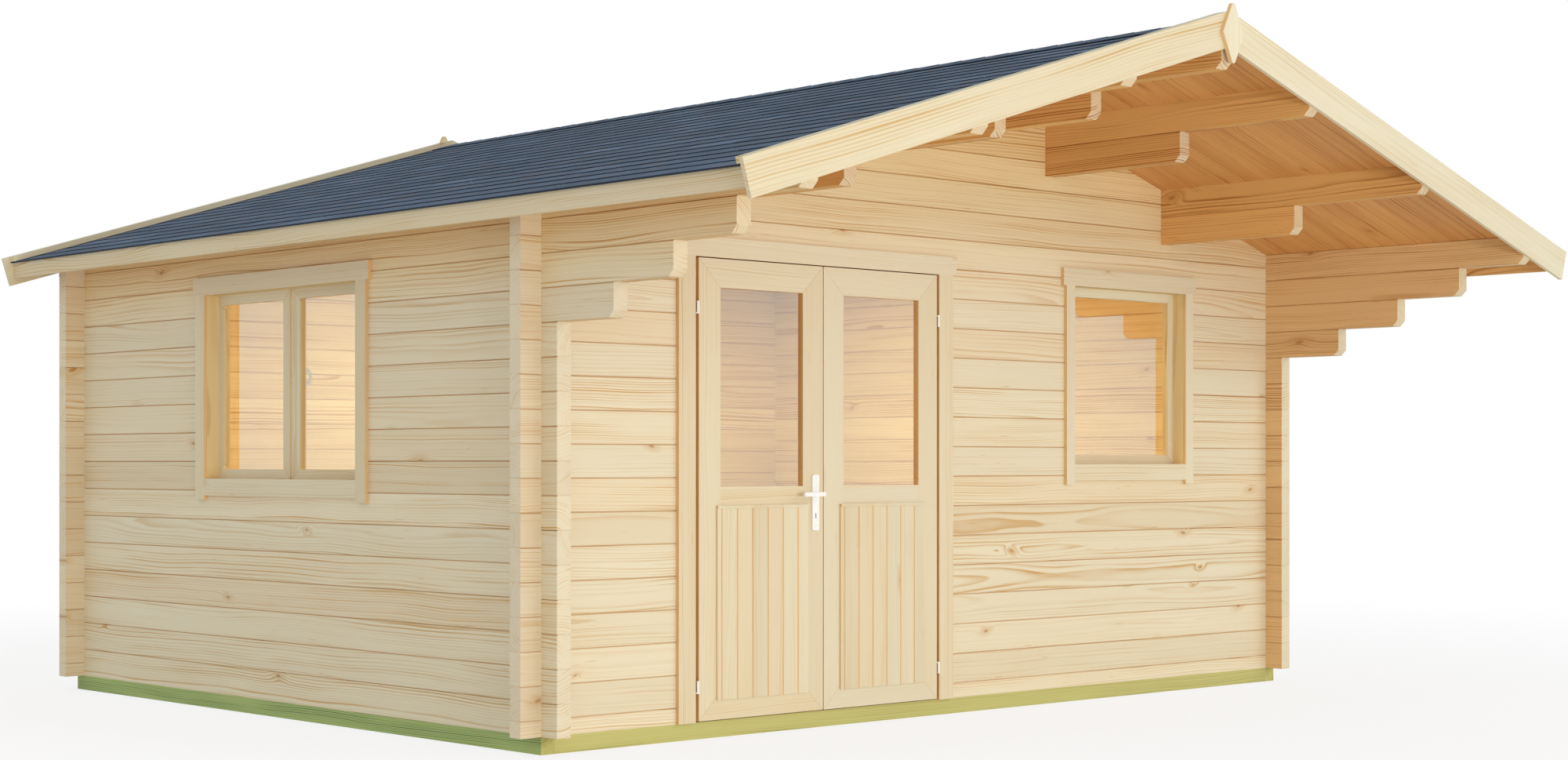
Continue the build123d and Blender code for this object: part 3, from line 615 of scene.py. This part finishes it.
def slope_trim(w):
    """Barge boards and laths along the roof slopes."""
    row_height = 0.2
    side_step, end_step, row_step = 3.7, 11.9, 5
    at, _ = coordinates(w)
    out = abs(at[0])
    up = at[2] - RIDGE_UNDER
    along = out * cos(PITCH) - up * sin(PITCH)
    across = out * sin(PITCH) + up * cos(PITCH)
    piece = at[0].sign() * side_step + at[1].sign() * end_step + cells(across, row_height) * row_step
    deep = w.blend(at[1].above(0.0), at[1] - ROOF_FRONT, at[1] - ROOF_REAR)
    return Lay(w.join(along, within(across, row_height), deep), piece)


# Where a point lies in a ring of stiles and rails, the ring's number, and the share of a rail within it
Ring = namedtuple("Ring", "across half_wide up half_high deep key rail", defaults=(None,))


def framing(w, plan, edge_bounce=0.0, edge_shade=0.0, warm=0.0):
    """Mitred rings of stiles and rails. The plan gives the ring round a point."""
    upright_step, side_step, end_step = 20, 3, 5
    at, facing = coordinates(w)
    across, half_wide, up, half_high, deep, key, rail = plan(w, at)
    from_side = half_wide - abs(across)
    from_end = half_high - abs(up)
    upright = from_side.below(from_end)
    if rail is not None:
        upright = upright * (1 - rail)
    place = w.join(w.blend(upright, across, up), w.blend(upright, up, across), deep)
    piece = key + upright * (upright_step + across.sign() * side_step)
    piece = piece + (1 - upright) * up.sign() * end_step
    joint = w.fade(abs(from_side - from_end), start=0.0016, end=0.0003, high=0.6)
    # Edges turned aside get painted warm bounce light and painted warm shade; the warm share paints shade
    # over the whole ring
    edge = turned_aside(w, at, facing)
    return Lay(place, piece, 0.0, joint, edge * edge_bounce, edge * edge_shade + warm)


def own_boards(w, width, shade):
    """Boards made here, which carry their own places, with shade along their edges."""
    shade_from, shade_to = 0.0040, 0.0008
    place = w.attribute("place", "Vector")
    across = abs(w.split(place)[1])
    joint = w.fade(across, width / 2 - shade_from, width / 2 - shade_to, high=shade)
    return Lay(place, w.attribute("piece", "Fac"), 0.0, joint)


def dress(material, *names):
    """Gives CAD nodes one finish."""
    for name in names:
        mesh = nodes[name].data
        mesh.materials.clear()
        mesh.materials.append(material)


def place_mesh(name, shape, material):
    """Puts a shape into the scene as one object with one finish."""
    mesh = bpy.data.meshes.new(name)
    shape.to_mesh(mesh)
    shape.free()
    mesh.materials.append(material)
    made = bpy.data.objects.new(name, mesh)
    bpy.context.scene.collection.objects.link(made)
    return made


class PrismMesh:
    """One mesh of many closed prisms, each with its own piece number and grain place."""

    def __init__(self):
        self.shape = bmesh.new()
        self.piece = self.shape.verts.layers.float.new("piece")
        self.place = self.shape.verts.layers.float_vector.new("place")

    def add(self, rings, piece, places=None):
        """A prism between two rings of points."""
        near, far = ([self.shape.verts.new(point) for point in ring] for ring in rings)
        for corner in (*near, *far):
            corner[self.piece] = piece
        if places:
            for corner, place in zip((*near, *far), (*places[0], *places[1])):
                corner[self.place] = place
        self.shape.faces.new(near)
        self.shape.faces.new(far[::-1])
        for i in range(len(near)):
            j = (i + 1) % len(near)
            self.shape.faces.new((near[j], near[i], far[i], far[j]))

    def sweep(self, outline, stations, piece, point, place):
        """A prism from an outline at two stations. Two rules give each corner's point and grain place."""

        def carried(rule):
            return [[rule(station, *corner) for corner in outline] for station in stations]

        self.add(carried(point), piece, carried(place))

    def finish(self, name, material, body, slot, *replaced):
        bmesh.ops.recalc_face_normals(self.shape, faces=self.shape.faces)
        made = place_mesh(name, self.shape, material)
        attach(made, body)
        if replaced:
            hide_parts(*replaced)


def even_rows(low, high, width):
    """The starts of rows that fill a length at about one width, and their exact width."""
    count = round((high - low) / width)
    step = (high - low) / count
    return [low + number * step for number in range(count)], step


def board_outline(near, far, back, face, bevel):
    """A board's outline, bevelled along both edges of its face."""
    edge = face + bevel if back > face else face - bevel
    return [(near, back), (near, edge), (near + bevel, face), (far - bevel, face), (far, edge), (far, back)]


def roof_at(side, out, y, above):
    """A point of a roof slope: out from the ridge, and straight up from the boards' underside."""
    return (side * out, y, RIDGE_UNDER - RISE * out + above / cos(PITCH))


def slope_at(side, along, y, above):
    """A point of a roof slope: along it from the ridge, and square up from the boards' underside."""
    return (
        side * (along * cos(PITCH) + above * sin(PITCH)),
        y,
        RIDGE_UNDER - along * sin(PITCH) + above * cos(PITCH),
    )


class CABIN_OT_wall_logs(bpy.types.Operator):
    """Finishes the logs of the four walls"""

    bl_idname = "cabin.wall_logs"
    bl_label = "Wall Logs"

    def execute(self, context):
        for name, walls, axis, base, middle in (
            ("Side_logs", ("left", "right"), 1, SIDE_WALL_BASE, SIDE_WALL_X),
            ("Gable_logs", ("front", "back"), 0, GABLE_WALL_BASE, GABLE_WALL_Y),
        ):
            finish = timber_material(name, "log", logs, axis=axis, base=base, middle=middle)
            dress(finish, *(f"{wall}_wall_{row}_logs" for wall in walls for row in ("odd", "even")))
        return {"FINISHED"}


class CABIN_OT_foundation(bpy.types.Operator):
    """Finishes the treated beams under the walls"""

    bl_idname = "cabin.foundation"
    bl_label = "Foundation"

    def execute(self, context):
        bay, piece_step = 0.4, 3

        def side_rule(at):
            piece = at[0].sign() * piece_step + FIRST_PIECE["side_beams"]
            return abs(at[0]) - SIDE_WALL_X, at[2], piece

        def cross_rule(at):
            piece = cells(at[1], bay) * piece_step + FIRST_PIECE["cross_beams"]
            return within(at[1], bay), at[2], piece

        # The side beams take the cooler green that paints shade, with painted warm light on their end faces
        sides = {"axis": 1, "rule": side_rule, "treated": True, "shelter": beam_end_light}
        finish = timber_material("Foundation_sides", "shaded_green", timbers, bold=2.0, **sides)
        dress(finish, "foundation_side_beams")
        across = {"axis": 0, "rule": cross_rule, "treated": True}
        dress(timber_material("Foundation_across", "green", timbers, **across), "foundation_cross_beams")
        return {"FINISHED"}


class CABIN_OT_floor_boards(bpy.types.Operator):
    """Lays the floor boards in place of the plain floor"""

    bl_idname = "cabin.floor_boards"
    bl_label = "Floor Boards"

    def execute(self, context):
        bevel, piece_step = 0.0015, 1.7
        starts, step = even_rows(FLOOR_LOW.y, FLOOR_HIGH.y, context.scene.cabin_fittings.floor_board)
        middle = (FLOOR_LOW.x + FLOOR_HIGH.x) / 2
        boards = PrismMesh()
        for number, near in enumerate(starts):
            boards.sweep(
                board_outline(near, near + step, FLOOR_LOW.z, FLOOR_HIGH.z, bevel),
                (FLOOR_LOW.x, FLOOR_HIGH.x),
                FIRST_PIECE["floor"] + number * piece_step,
                point=lambda x, y, z: (x, y, z),
                place=lambda x, y, z: (x - middle, y - near - step / 2, z),
            )
        finish = timber_material("Floor_boards", "floor", own_boards, width=step, shade=0.55)
        boards.finish("floor_boards", finish, "cabin", "floor_wood", "floor")
        return {"FINISHED"}


class CABIN_OT_roof_timbers(bpy.types.Operator):
    """Finishes the purlins and lays the roof boards in place of the plain slopes"""

    bl_idname = "cabin.roof_timbers"
    bl_label = "Roof Timbers"

    def execute(self, context):
        log_height = context.scene.cabin_timber.log_height
        roof = context.scene.cabin_roof
        bay, bay_step, course_step = 0.5, 4.1, 2.3
        slope_step, board_step = 150, 1.3

        def purlin_rule(at):
            rise = at[2] - PURLIN_BASE
            course = cells(rise, log_height, 0.0)
            piece = cells(at[0], bay) * bay_step + course * course_step + FIRST_PIECE["purlins"]
            return within(rise, log_height, 0.0), within(at[0], bay), piece

        purlin = timber_material("Purlins", "purlin", timbers, bold=2.0, axis=1, rule=purlin_rule)
        dress(purlin, "lower_purlins", "upper_purlins", "ridge_purlin", "purlin_corbels")
        starts, step = even_rows(ROOF_FRONT, ROOF_REAR, roof.board_width)
        finish = timber_material("Roof_boards", "roof", own_boards, bold=2.2, width=step, shade=0.9)
        for side, word in SLOPES:
            boards = PrismMesh()
            for number, near in enumerate(starts):
                boards.sweep(
                    board_outline(near, near + step, BOARD_THICKNESS, 0, roof.board_bevel),
                    (0, EAVES_X),
                    FIRST_PIECE["roof_boards"] + side * slope_step + number * board_step,
                    point=lambda out, y, above: roof_at(side, out, y, above),
                    place=lambda out, y, above: (out / cos(PITCH), y - near - step / 2, above),
                )
            plain = f"roof_boards_{word}"
            boards.finish(f"{plain}_tongued", finish, "cabin", "roof_timber", plain)
        return {"FINISHED"}


def shingle_material():
    """Slate granules that change from tab to tab, with paler tabs, reddish flecks and dark butts."""
    roof = bpy.context.scene.cabin_roof
    patch_long, patch_wide, patch_draw = 9, 3, 7
    streak_long, streak_wide, streak_draw, streak_grit = 26, 5, 31, 0.3
    dark_least, dark_grit, dark_patch, dark_tab = 0.32, 0.9, 0.9, 0.4
    rough, rough_grit, rise, rise_patch = 0.86, 0.2, 0.0015, 0.3
    material, w, shader = new_material("Shingles")
    piece = w.attribute("piece", "Fac")
    along, across, deep = w.split(w.attribute("place", "Vector"))
    r1, r2, r3 = w.dice(piece)
    grit = w.noise(w.join(along, across, deep), scale=900)
    patch = w.noise(w.join(along * patch_long, across * patch_wide + r1 * patch_draw, 0.0), detail=3.0)
    streak = w.noise(w.join(along * streak_long, across * streak_wide + r2 * streak_draw, 0.0))
    dark = dark_least + grit * dark_grit + patch * dark_patch + (r1 - 0.5) * dark_tab
    body = w.tint(dark, roof.slate, roof.slate_dark)
    body = w.tint(w.fade(r3 + patch, start=0.72, end=1.15, high=0.75), body, roof.slate_pale)
    body = w.tint(w.fade(streak + grit * streak_grit, start=0.04, end=0.20, high=0.7), body, roof.fleck)
    _, facing = coordinates(w)
    body = w.tint(w.fade(abs(facing[0]), start=0.6, end=0.8, high=0.85), body, roof.butt)
    w.fed(shader, (body, rough + grit * rough_grit), ("Base Color", "Roughness"))
    bump(w, shader, grit + patch * rise_patch, rise)
    return material


class CABIN_OT_shingles(bpy.types.Operator):
    """Lays the shingle tabs and the folded ridge tabs in place of the plain covering"""

    bl_idname = "cabin.shingles"
    bl_label = "Shingles"

    def execute(self, context):
        roof = context.scene.cabin_roof
        seed, stagger, most_sunk, most_short, most_number = 7, 0.03, -0.0006, -0.0012, 500
        tail, cap_sunk, cap_rise, cap_fall, cap_step = 0.0002, 0.001, 0.004, -0.0018, 1.9
        chance = Random(seed)
        finish = shingle_material()
        low = BOARD_THICKNESS
        mid = low + roof.base
        high = mid + roof.step
        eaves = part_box("roof_covering_right")[1].x
        foot = (eaves - (BOARD_THICKNESS + roof.base + roof.step) * sin(PITCH)) / cos(PITCH)

        def sheet(side, reach, y, under, over):
            """The outline of a layer from the ridge down one slope."""
            return [
                (0, y, RIDGE_UNDER + under / cos(PITCH)),
                slope_at(side, reach, y, under),
                slope_at(side, reach, y, over),
                (0, y, RIDGE_UNDER + over / cos(PITCH)),
            ]

        for side, word in SLOPES:
            tabs = PrismMesh()
            underlay = [sheet(side, foot, y, low, mid) for y in (ROOF_FRONT, ROOF_REAR)]
            tabs.add(underlay, FIRST_PIECE["underlay"], [[(0.0, 0.0, 1.0)] * 4] * 2)
            for row in range(int(foot / roof.exposure)):
                butt = foot - row * roof.exposure
                top = butt - roof.exposure
                y = ROOF_FRONT - (row * 0.5 % 1 + chance.uniform(-stagger, stagger)) * roof.tab_width
                while y < ROOF_REAR:
                    start = max(y + roof.tab_slot / 2, ROOF_FRONT)
                    stop = min(y + roof.tab_width - roof.tab_slot / 2, ROOF_REAR)
                    y += roof.tab_width
                    lift = chance.uniform(most_sunk, 0.0)
                    slide = chance.uniform(most_short, 0.0)
                    number = chance.uniform(0, most_number)
                    if stop - start < roof.tab_slot:
                        continue
                    # Each corner's way along the slope, its height, and its depth in the granules
                    outline = (
                        (butt + slide, mid, 1.0),
                        (butt + slide, high + lift, 0.0),
                        (top, mid + tail, 0.0),
                        (top, mid, 1.0),
                    )
                    tabs.sweep(
                        outline,
                        (start, stop),
                        number,
                        point=lambda across, along, above, deep: slope_at(side, along, across, above),
                        place=lambda across, along, above, deep: (along * side, across, deep),
                    )
            tabs.finish(f"shingle_tabs_{word}", finish, "cabin", "shingles", f"roof_covering_{word}")

        cap_low, cap_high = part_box("ridge_cap")
        caps = PrismMesh()
        reach = cap_high.x / cos(PITCH)
        starts, step = even_rows(cap_low.y, cap_high.y, roof.exposure)
        for number, near in enumerate(starts):
            for side, _ in SLOPES:
                rings = [
                    sheet(side, reach, y, high - cap_sunk, high + cap_rise + fall)
                    for y, fall in ((near, 0.0), (near + step, cap_fall))
                ]
                places = [[(x, y, 0.0) for x, y, _ in ring] for ring in rings]
                caps.add(rings, FIRST_PIECE["ridge_tabs"] + number * cap_step, places)
        caps.finish("ridge_tabs", finish, "cabin", "shingles", "ridge_cap")
        return {"FINISHED"}


class CABIN_OT_trim(bpy.types.Operator):
    """Finishes the casings, barge boards, laths, fascias and finials"""

    bl_idname = "cabin.trim"
    bl_label = "Trim"

    def execute(self, context):
        bay, across_step, deep_step, eaves_step = 0.8, 5.3, 2.9, 3

        def upright_rule(at):
            piece = cells(at[0], bay) * across_step + cells(at[1], bay, 0.0) * deep_step
            return within(at[0], bay), within(at[1], bay, 0.0), piece + FIRST_PIECE["uprights"]

        def eaves_rule(at):
            piece = at[0].sign() * eaves_step + FIRST_PIECE["eaves"]
            return abs(at[0]) - EAVES_X, at[2] - ROOF_LOW.z, piece

        uprights = {"axis": 2, "rule": upright_rule, "shelter": casing_edge_shade}
        finish = timber_material("Casing_uprights", "trim", timbers, bold=0.8, **uprights)
        dress(finish, "casing_uprights", "finials")
        finish = timber_material("Casing_heads", "trim", level_trim, bold=0.8)
        dress(finish, "casing_heads", "window_aprons")
        finish = timber_material("Barge_boards", "trim", slope_trim, bold=1.2, knots=0.25)
        dress(finish, *(f"{word}_{strip}" for _, word in SLOPES for strip in ("barge_boards", "verge_laths")))
        eaves = {"axis": 1, "rule": eaves_rule, "shelter": eaves_inside_shade}
        dress(timber_material("Eaves_fascias", "trim", timbers, bold=2.0, **eaves), "eaves_fascias")
        return {"FINISHED"}


def window_plan(node, split):
    """The rings of the front window and of the side window, whose sashes stand side by side if split."""
    low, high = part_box(node)
    side_from, side_step, sash_step = -1.0, 40, 9

    def plan(w, at):
        side = at[0].below(side_from)
        across = w.blend(side, at[0] - FRONT_WINDOW_MIDDLE, at[1])
        key = side * side_step + FIRST_PIECE["windows"]
        side_half = SIDE_WINDOW_HALF
        if split:
            quarter = SIDE_WINDOW_HALF / 2
            sash = across.sign()
            key = key + side * sash * sash_step
            across = w.blend(side, across, across - sash * quarter)
            side_half = quarter - SASH_PLAY
        half = w.blend(side, high.x - FRONT_WINDOW_MIDDLE, side_half)
        top = w.blend(side, high.z, high.z - HALF_LOG)
        foot = w.blend(side, low.z + HALF_LOG, low.z)
        deep = w.blend(side, at[1] + GABLE_WALL_Y, at[0] + SIDE_WALL_X)
        return Ring(across, half, at[2] - (top + foot) / 2, (top - foot) / 2, deep, key)

    return plan


def frame_plan(node, key, rail_base=None):
    """The ring of a frame that fills its node's box, with a rail across it at a height if that is given."""
    low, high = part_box(node)
    middle = (low + high) / 2
    half = (high - low) / 2

    def plan(w, at):
        across = at[0] - middle.x
        rail = None
        if rail_base is not None:
            between = (half.x - abs(across)).above(STILE_WIDTH)
            rail = between * abs(at[2] - rail_base - MID_RAIL_RISE).below(MID_RAIL_REACH)
        return Ring(across, half.x, at[2] - middle.z, half.z, at[1] - middle.y, key, rail)

    return plan


class CABIN_OT_windows(bpy.types.Operator):
    """Finishes the window frames, sashes and panes, and the glass of the doors"""

    bl_idname = "cabin.windows"
    bl_label = "Windows"

    def execute(self, context):
        # The frames' and sashes' edges get painted warm bounce light and painted warm shade
        for name, split, grain in (
            ("window_frames", False, {"bold": 0.35, "knots": 0.0, "edge_bounce": 0.6, "edge_shade": 0.15}),
            ("window_sashes", True, {"bold": 0.7, "knots": 0.2, "edge_bounce": 0.4, "edge_shade": 0.2}),
        ):
            plan = window_plan(name, split)
            dress(timber_material(name.capitalize(), "trim", framing, plan=plan, **grain), name)
        dress(glass_material(), "window_panes", "left_door_glass", "right_door_glass")
        return {"FINISHED"}


def choose_surface(w, share, first, second):
    """Makes a material's surface the first shader at share 0, and the second at 1."""
    surfaces = (share, w.out(first), w.out(second))
    w.feed(w.tree.nodes["Material Output"].inputs["Surface"], w.fed(w.node("MixShader"), surfaces))


def glass_material():
    """Clear panes with faint smears, which let light through without a shadow."""
    fittings = bpy.context.scene.cabin_fittings
    material, w, shader = new_material("Glass")
    at, _ = coordinates(w)
    smear = w.noise(w.join(*at), scale=3.0, detail=3.0)
    roughness = w.fade(smear, start=0.0, end=0.5, high=0.02)
    w.fed(
        shader,
        (fittings.glass, roughness, fittings.glass_ior, 1.0),
        ("Base Color", "Roughness", "IOR", "Transmission Weight"),
    )
    shadow = w.out(w.node("LightPath"), "Is Shadow Ray")
    choose_surface(w, shadow, shader, w.node("BsdfTransparent"))
    return material


def panel_boards(node, first):
    """The rule of a door panel's upright boards."""
    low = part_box(node)[0]
    piece_step = 3.3

    def rule(at):
        off = at[0] - low.x - PANEL_LAP
        piece = cells(off, PANEL_BOARD, 0.0) * piece_step + first + FIRST_PIECE["panels"]
        return within(off, PANEL_BOARD, 0.0), at[1] - low.y, piece

    return rule


class CABIN_OT_doors(bpy.types.Operator):
    """Finishes the door frame, the two leaves and their panels"""

    bl_idname = "cabin.doors"
    bl_label = "Doors"

    def execute(self, context):
        right_step = 30.0
        grain = {"bold": 0.6, "knots": 0.2}
        for word, first in (("left", 0.0), ("right", right_step)):
            leaf, panel = f"{word}_door_leaf", f"{word}_door_panel"
            plan = frame_plan(leaf, first + FIRST_PIECE["leaves"], rail_base=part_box(panel)[1].z)
            # The leaves' edges get painted warm shade
            ring = {"plan": plan, "edge_shade": 0.85}
            dress(timber_material(f"Door_leaf_{word}", "trim", framing, **grain, **ring), leaf)
            boards = {"axis": 2, "rule": panel_boards(panel, first), "shelter": panel_groove_shade}
            dress(timber_material(f"Door_panel_{word}", "trim", timbers, **grain, **boards), panel)
        plan = frame_plan("door_frame", FIRST_PIECE["door_frame"])
        # The whole door frame gets painted warm shade
        dress(timber_material("Door_frame", "trim", framing, knots=0.2, plan=plan, warm=0.8), "door_frame")
        return {"FINISHED"}


class CABIN_OT_metalwork(bpy.types.Operator):
    """Finishes the hinges, plates, lever and window handle, and adds the plates' screw heads"""

    bl_idname = "cabin.metalwork"
    bl_label = "Metalwork"

    def execute(self, context):
        fittings = context.scene.cabin_fittings
        dusty, dust_least, dust_range = linear(226, 222, 214), 0.12, 0.3
        rough, rough_dust, coat, peel_rise, peel_strength = 0.26, 0.15, 0.4, 0.0003, 0.4
        screw_sides, screw_crown = 16, 0.72
        material, w, shader = new_material("White_metal")
        at, _ = coordinates(w)
        peel = w.noise(w.join(*at), scale=700)
        dust = w.noise(w.join(*at), scale=40, detail=3.0)
        body = w.tint(dust_least + dust * dust_range, fittings.metal, dusty)
        low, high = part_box("door_plates")
        centre = (low.x + high.x) / 2
        # Painted shade inside the keyhole: a dark slot in place of a hollow
        slot = abs(at[0] - centre).below(fittings.keyhole_width / 2)
        slot = slot * abs(at[2] - low.z - fittings.keyhole_rise).below(fittings.keyhole_height / 2)
        body = w.tint(slot, body, fittings.keyhole_shade)
        w.fed(shader, (body, rough + dust * rough_dust, coat), ("Base Color", "Roughness", "Coat Weight"))
        bump(w, shader, peel, peel_rise, peel_strength)
        dress(material, "frame_hinge_knuckles", "left_leaf_knuckles", "right_leaf_knuckles")
        dress(material, "door_plates", "door_lever", "window_handle")
        screws = PrismMesh()
        turns = [2 * pi * i / screw_sides for i in range(screw_sides)]
        for face, outward in ((low.y, -1), (high.y, 1)):
            for level in (low.z + fittings.screw_inset, high.z - fittings.screw_inset):
                rings = []
                for share, rise in ((1.0, 0.0), (screw_crown, fittings.screw_rise)):
                    reach = fittings.screw_radius * share
                    y = face + outward * rise
                    rings.append([(centre + reach * cos(t), y, level + reach * sin(t)) for t in turns])
                screws.add(rings, level)
        screws.finish("plate_screws", material, "left_door", "white_metal")
        return {"FINISHED"}


def surroundings(w):
    """The share of rays that see the plain surroundings as they are, and the colour that those rays see."""
    path = w.node("LightPath")
    mirrored = w.out(path, "Is Glossy Ray")
    straight = w.out(path, "Is Camera Ray").most(w.out(path, "Is Transmission Ray"))
    white = (1, 1, 1)
    return straight.most(mirrored), w.tint(mirrored, white, bpy.context.scene.cabin_stage.mirrored)


class CABIN_OT_stage(bpy.types.Operator):
    """Sets up the plain floor, the soft light and the camera"""

    bl_idname = "cabin.stage"
    bl_label = "Stage"

    def execute(self, context):
        scene = context.scene
        stage = scene.cabin_stage
        scene.view_settings.view_transform = "Standard"

        material, w, shader = new_material("Stage_floor")
        matt, gloss = 0.9, 0.0
        w.fed(shader, (stage.floor, matt, gloss), ("Base Color", "Roughness", "Specular IOR Level"))
        seen, seen_colour = surroundings(w)
        glow = w.node("Emission")
        w.feed(glow.inputs["Color"], seen_colour)
        at, _ = coordinates(w)
        far = w.fade(hypot(at[0], at[1]), start=4.0, end=10.0, low=0.78)
        choose_surface(w, seen * far, shader, glow)
        half = stage.floor_size / 2
        shape = bmesh.new()
        corners = ((-half, -half, 0), (half, -half, 0), (half, half, 0), (-half, half, 0))
        shape.faces.new([shape.verts.new(corner) for corner in corners])
        floor = place_mesh("stage_floor", shape, material)

        world = scene.world or bpy.data.worlds.new("World")
        scene.world = world
        world.use_nodes = True
        w = Wiring(world.node_tree)
        seen, seen_colour = surroundings(w)
        strength = w.blend(seen, stage.sky, 1.0)
        w.fed(world.node_tree.nodes["Background"], (seen_colour, strength), ("Color", "Strength"))

        def lamp(name, kind, place, aim, **values):
            data = bpy.data.lights.new(name, kind)
            if kind == "AREA":
                data.shape = "RECTANGLE"
            for key, value in values.items():
                setattr(data, key, value)
            made = bpy.data.objects.new(name, data)
            made.location = place
            made.rotation_euler = (Vector(aim) - Vector(place)).to_track_quat("-Z", "Y").to_euler()
            for ray in ("camera", "glossy", "transmission"):
                setattr(made, f"visible_{ray}", False)
            scene.collection.objects.link(made)

        lamp(
            "Soft_sun",
            "SUN",
            place=(4.4, -9.0, 3.9),
            aim=(0, -1, 0.9),
            energy=stage.sun,
            angle=stage.sun_softness,
        )
        lamp(
            "Low_fill",
            "AREA",
            place=(-5.0, -17.0, 0.8),
            aim=(0.8, -2.6, 2.4),
            energy=stage.fill,
            size=5.0,
            size_y=1.2,
        )
        lamp(
            "Room_light",
            "AREA",
            place=(0, 0, 2.3),
            aim=(0, 0, 0),
            energy=stage.room_light,
            size=3.0,
            size_y=2.2,
            color=stage.room_colour,
        )

        data = bpy.data.cameras.new("Camera")
        data.sensor_width = SENSOR_WIDTH
        data.lens = stage.camera_lens
        data.shift_x = stage.shift_x
        data.shift_y = stage.shift_y
        camera = bpy.data.objects.new("Camera", data)
        camera.location = stage.camera_place
        camera.rotation_euler = (pi / 2, 0, stage.camera_turn)
        scene.collection.objects.link(camera)
        scene.camera = camera
        return {"FINISHED"}


OPERATORS = (
    CABIN_OT_wall_logs,
    CABIN_OT_foundation,
    CABIN_OT_floor_boards,
    CABIN_OT_roof_timbers,
    CABIN_OT_shingles,
    CABIN_OT_trim,
    CABIN_OT_windows,
    CABIN_OT_doors,
    CABIN_OT_metalwork,
    CABIN_OT_stage,
)

SETTINGS = {
    "cabin_timber": CabinTimber,
    "cabin_roof": CabinRoof,
    "cabin_fittings": CabinFittings,
    "cabin_stage": CabinStage,
}


class CABIN_PT_finish(bpy.types.Panel):
    """Lists the cabin's settings and the steps that finish it"""

    bl_idname = "CABIN_PT_finish"
    bl_label = "Log Cabin"
    bl_space_type = "VIEW_3D"
    bl_region_type = "UI"
    bl_category = "Cabin"

    def draw(self, context):
        layout = self.layout
        for key, group in SETTINGS.items():
            box = layout.box()
            box.label(text=group.__doc__)
            for setting in group.__annotations__:
                box.prop(getattr(context.scene, key), setting)
        for step in OPERATORS:
            layout.operator(step.bl_idname)


CLASSES = (*SETTINGS.values(), *OPERATORS, CABIN_PT_finish)


def register():
    for entry in CLASSES:
        bpy.utils.register_class(entry)
    for key, group in SETTINGS.items():
        setattr(bpy.types.Scene, key, PointerProperty(type=group))


def unregister():
    for key in SETTINGS:
        delattr(bpy.types.Scene, key)
    for entry in reversed(CLASSES):
        bpy.utils.unregister_class(entry)


def main():
    register()
    for step in OPERATORS:
        group, name = step.bl_idname.split(".")
        getattr(getattr(bpy.ops, group), name)()


if __name__ == "__main__":
    main()
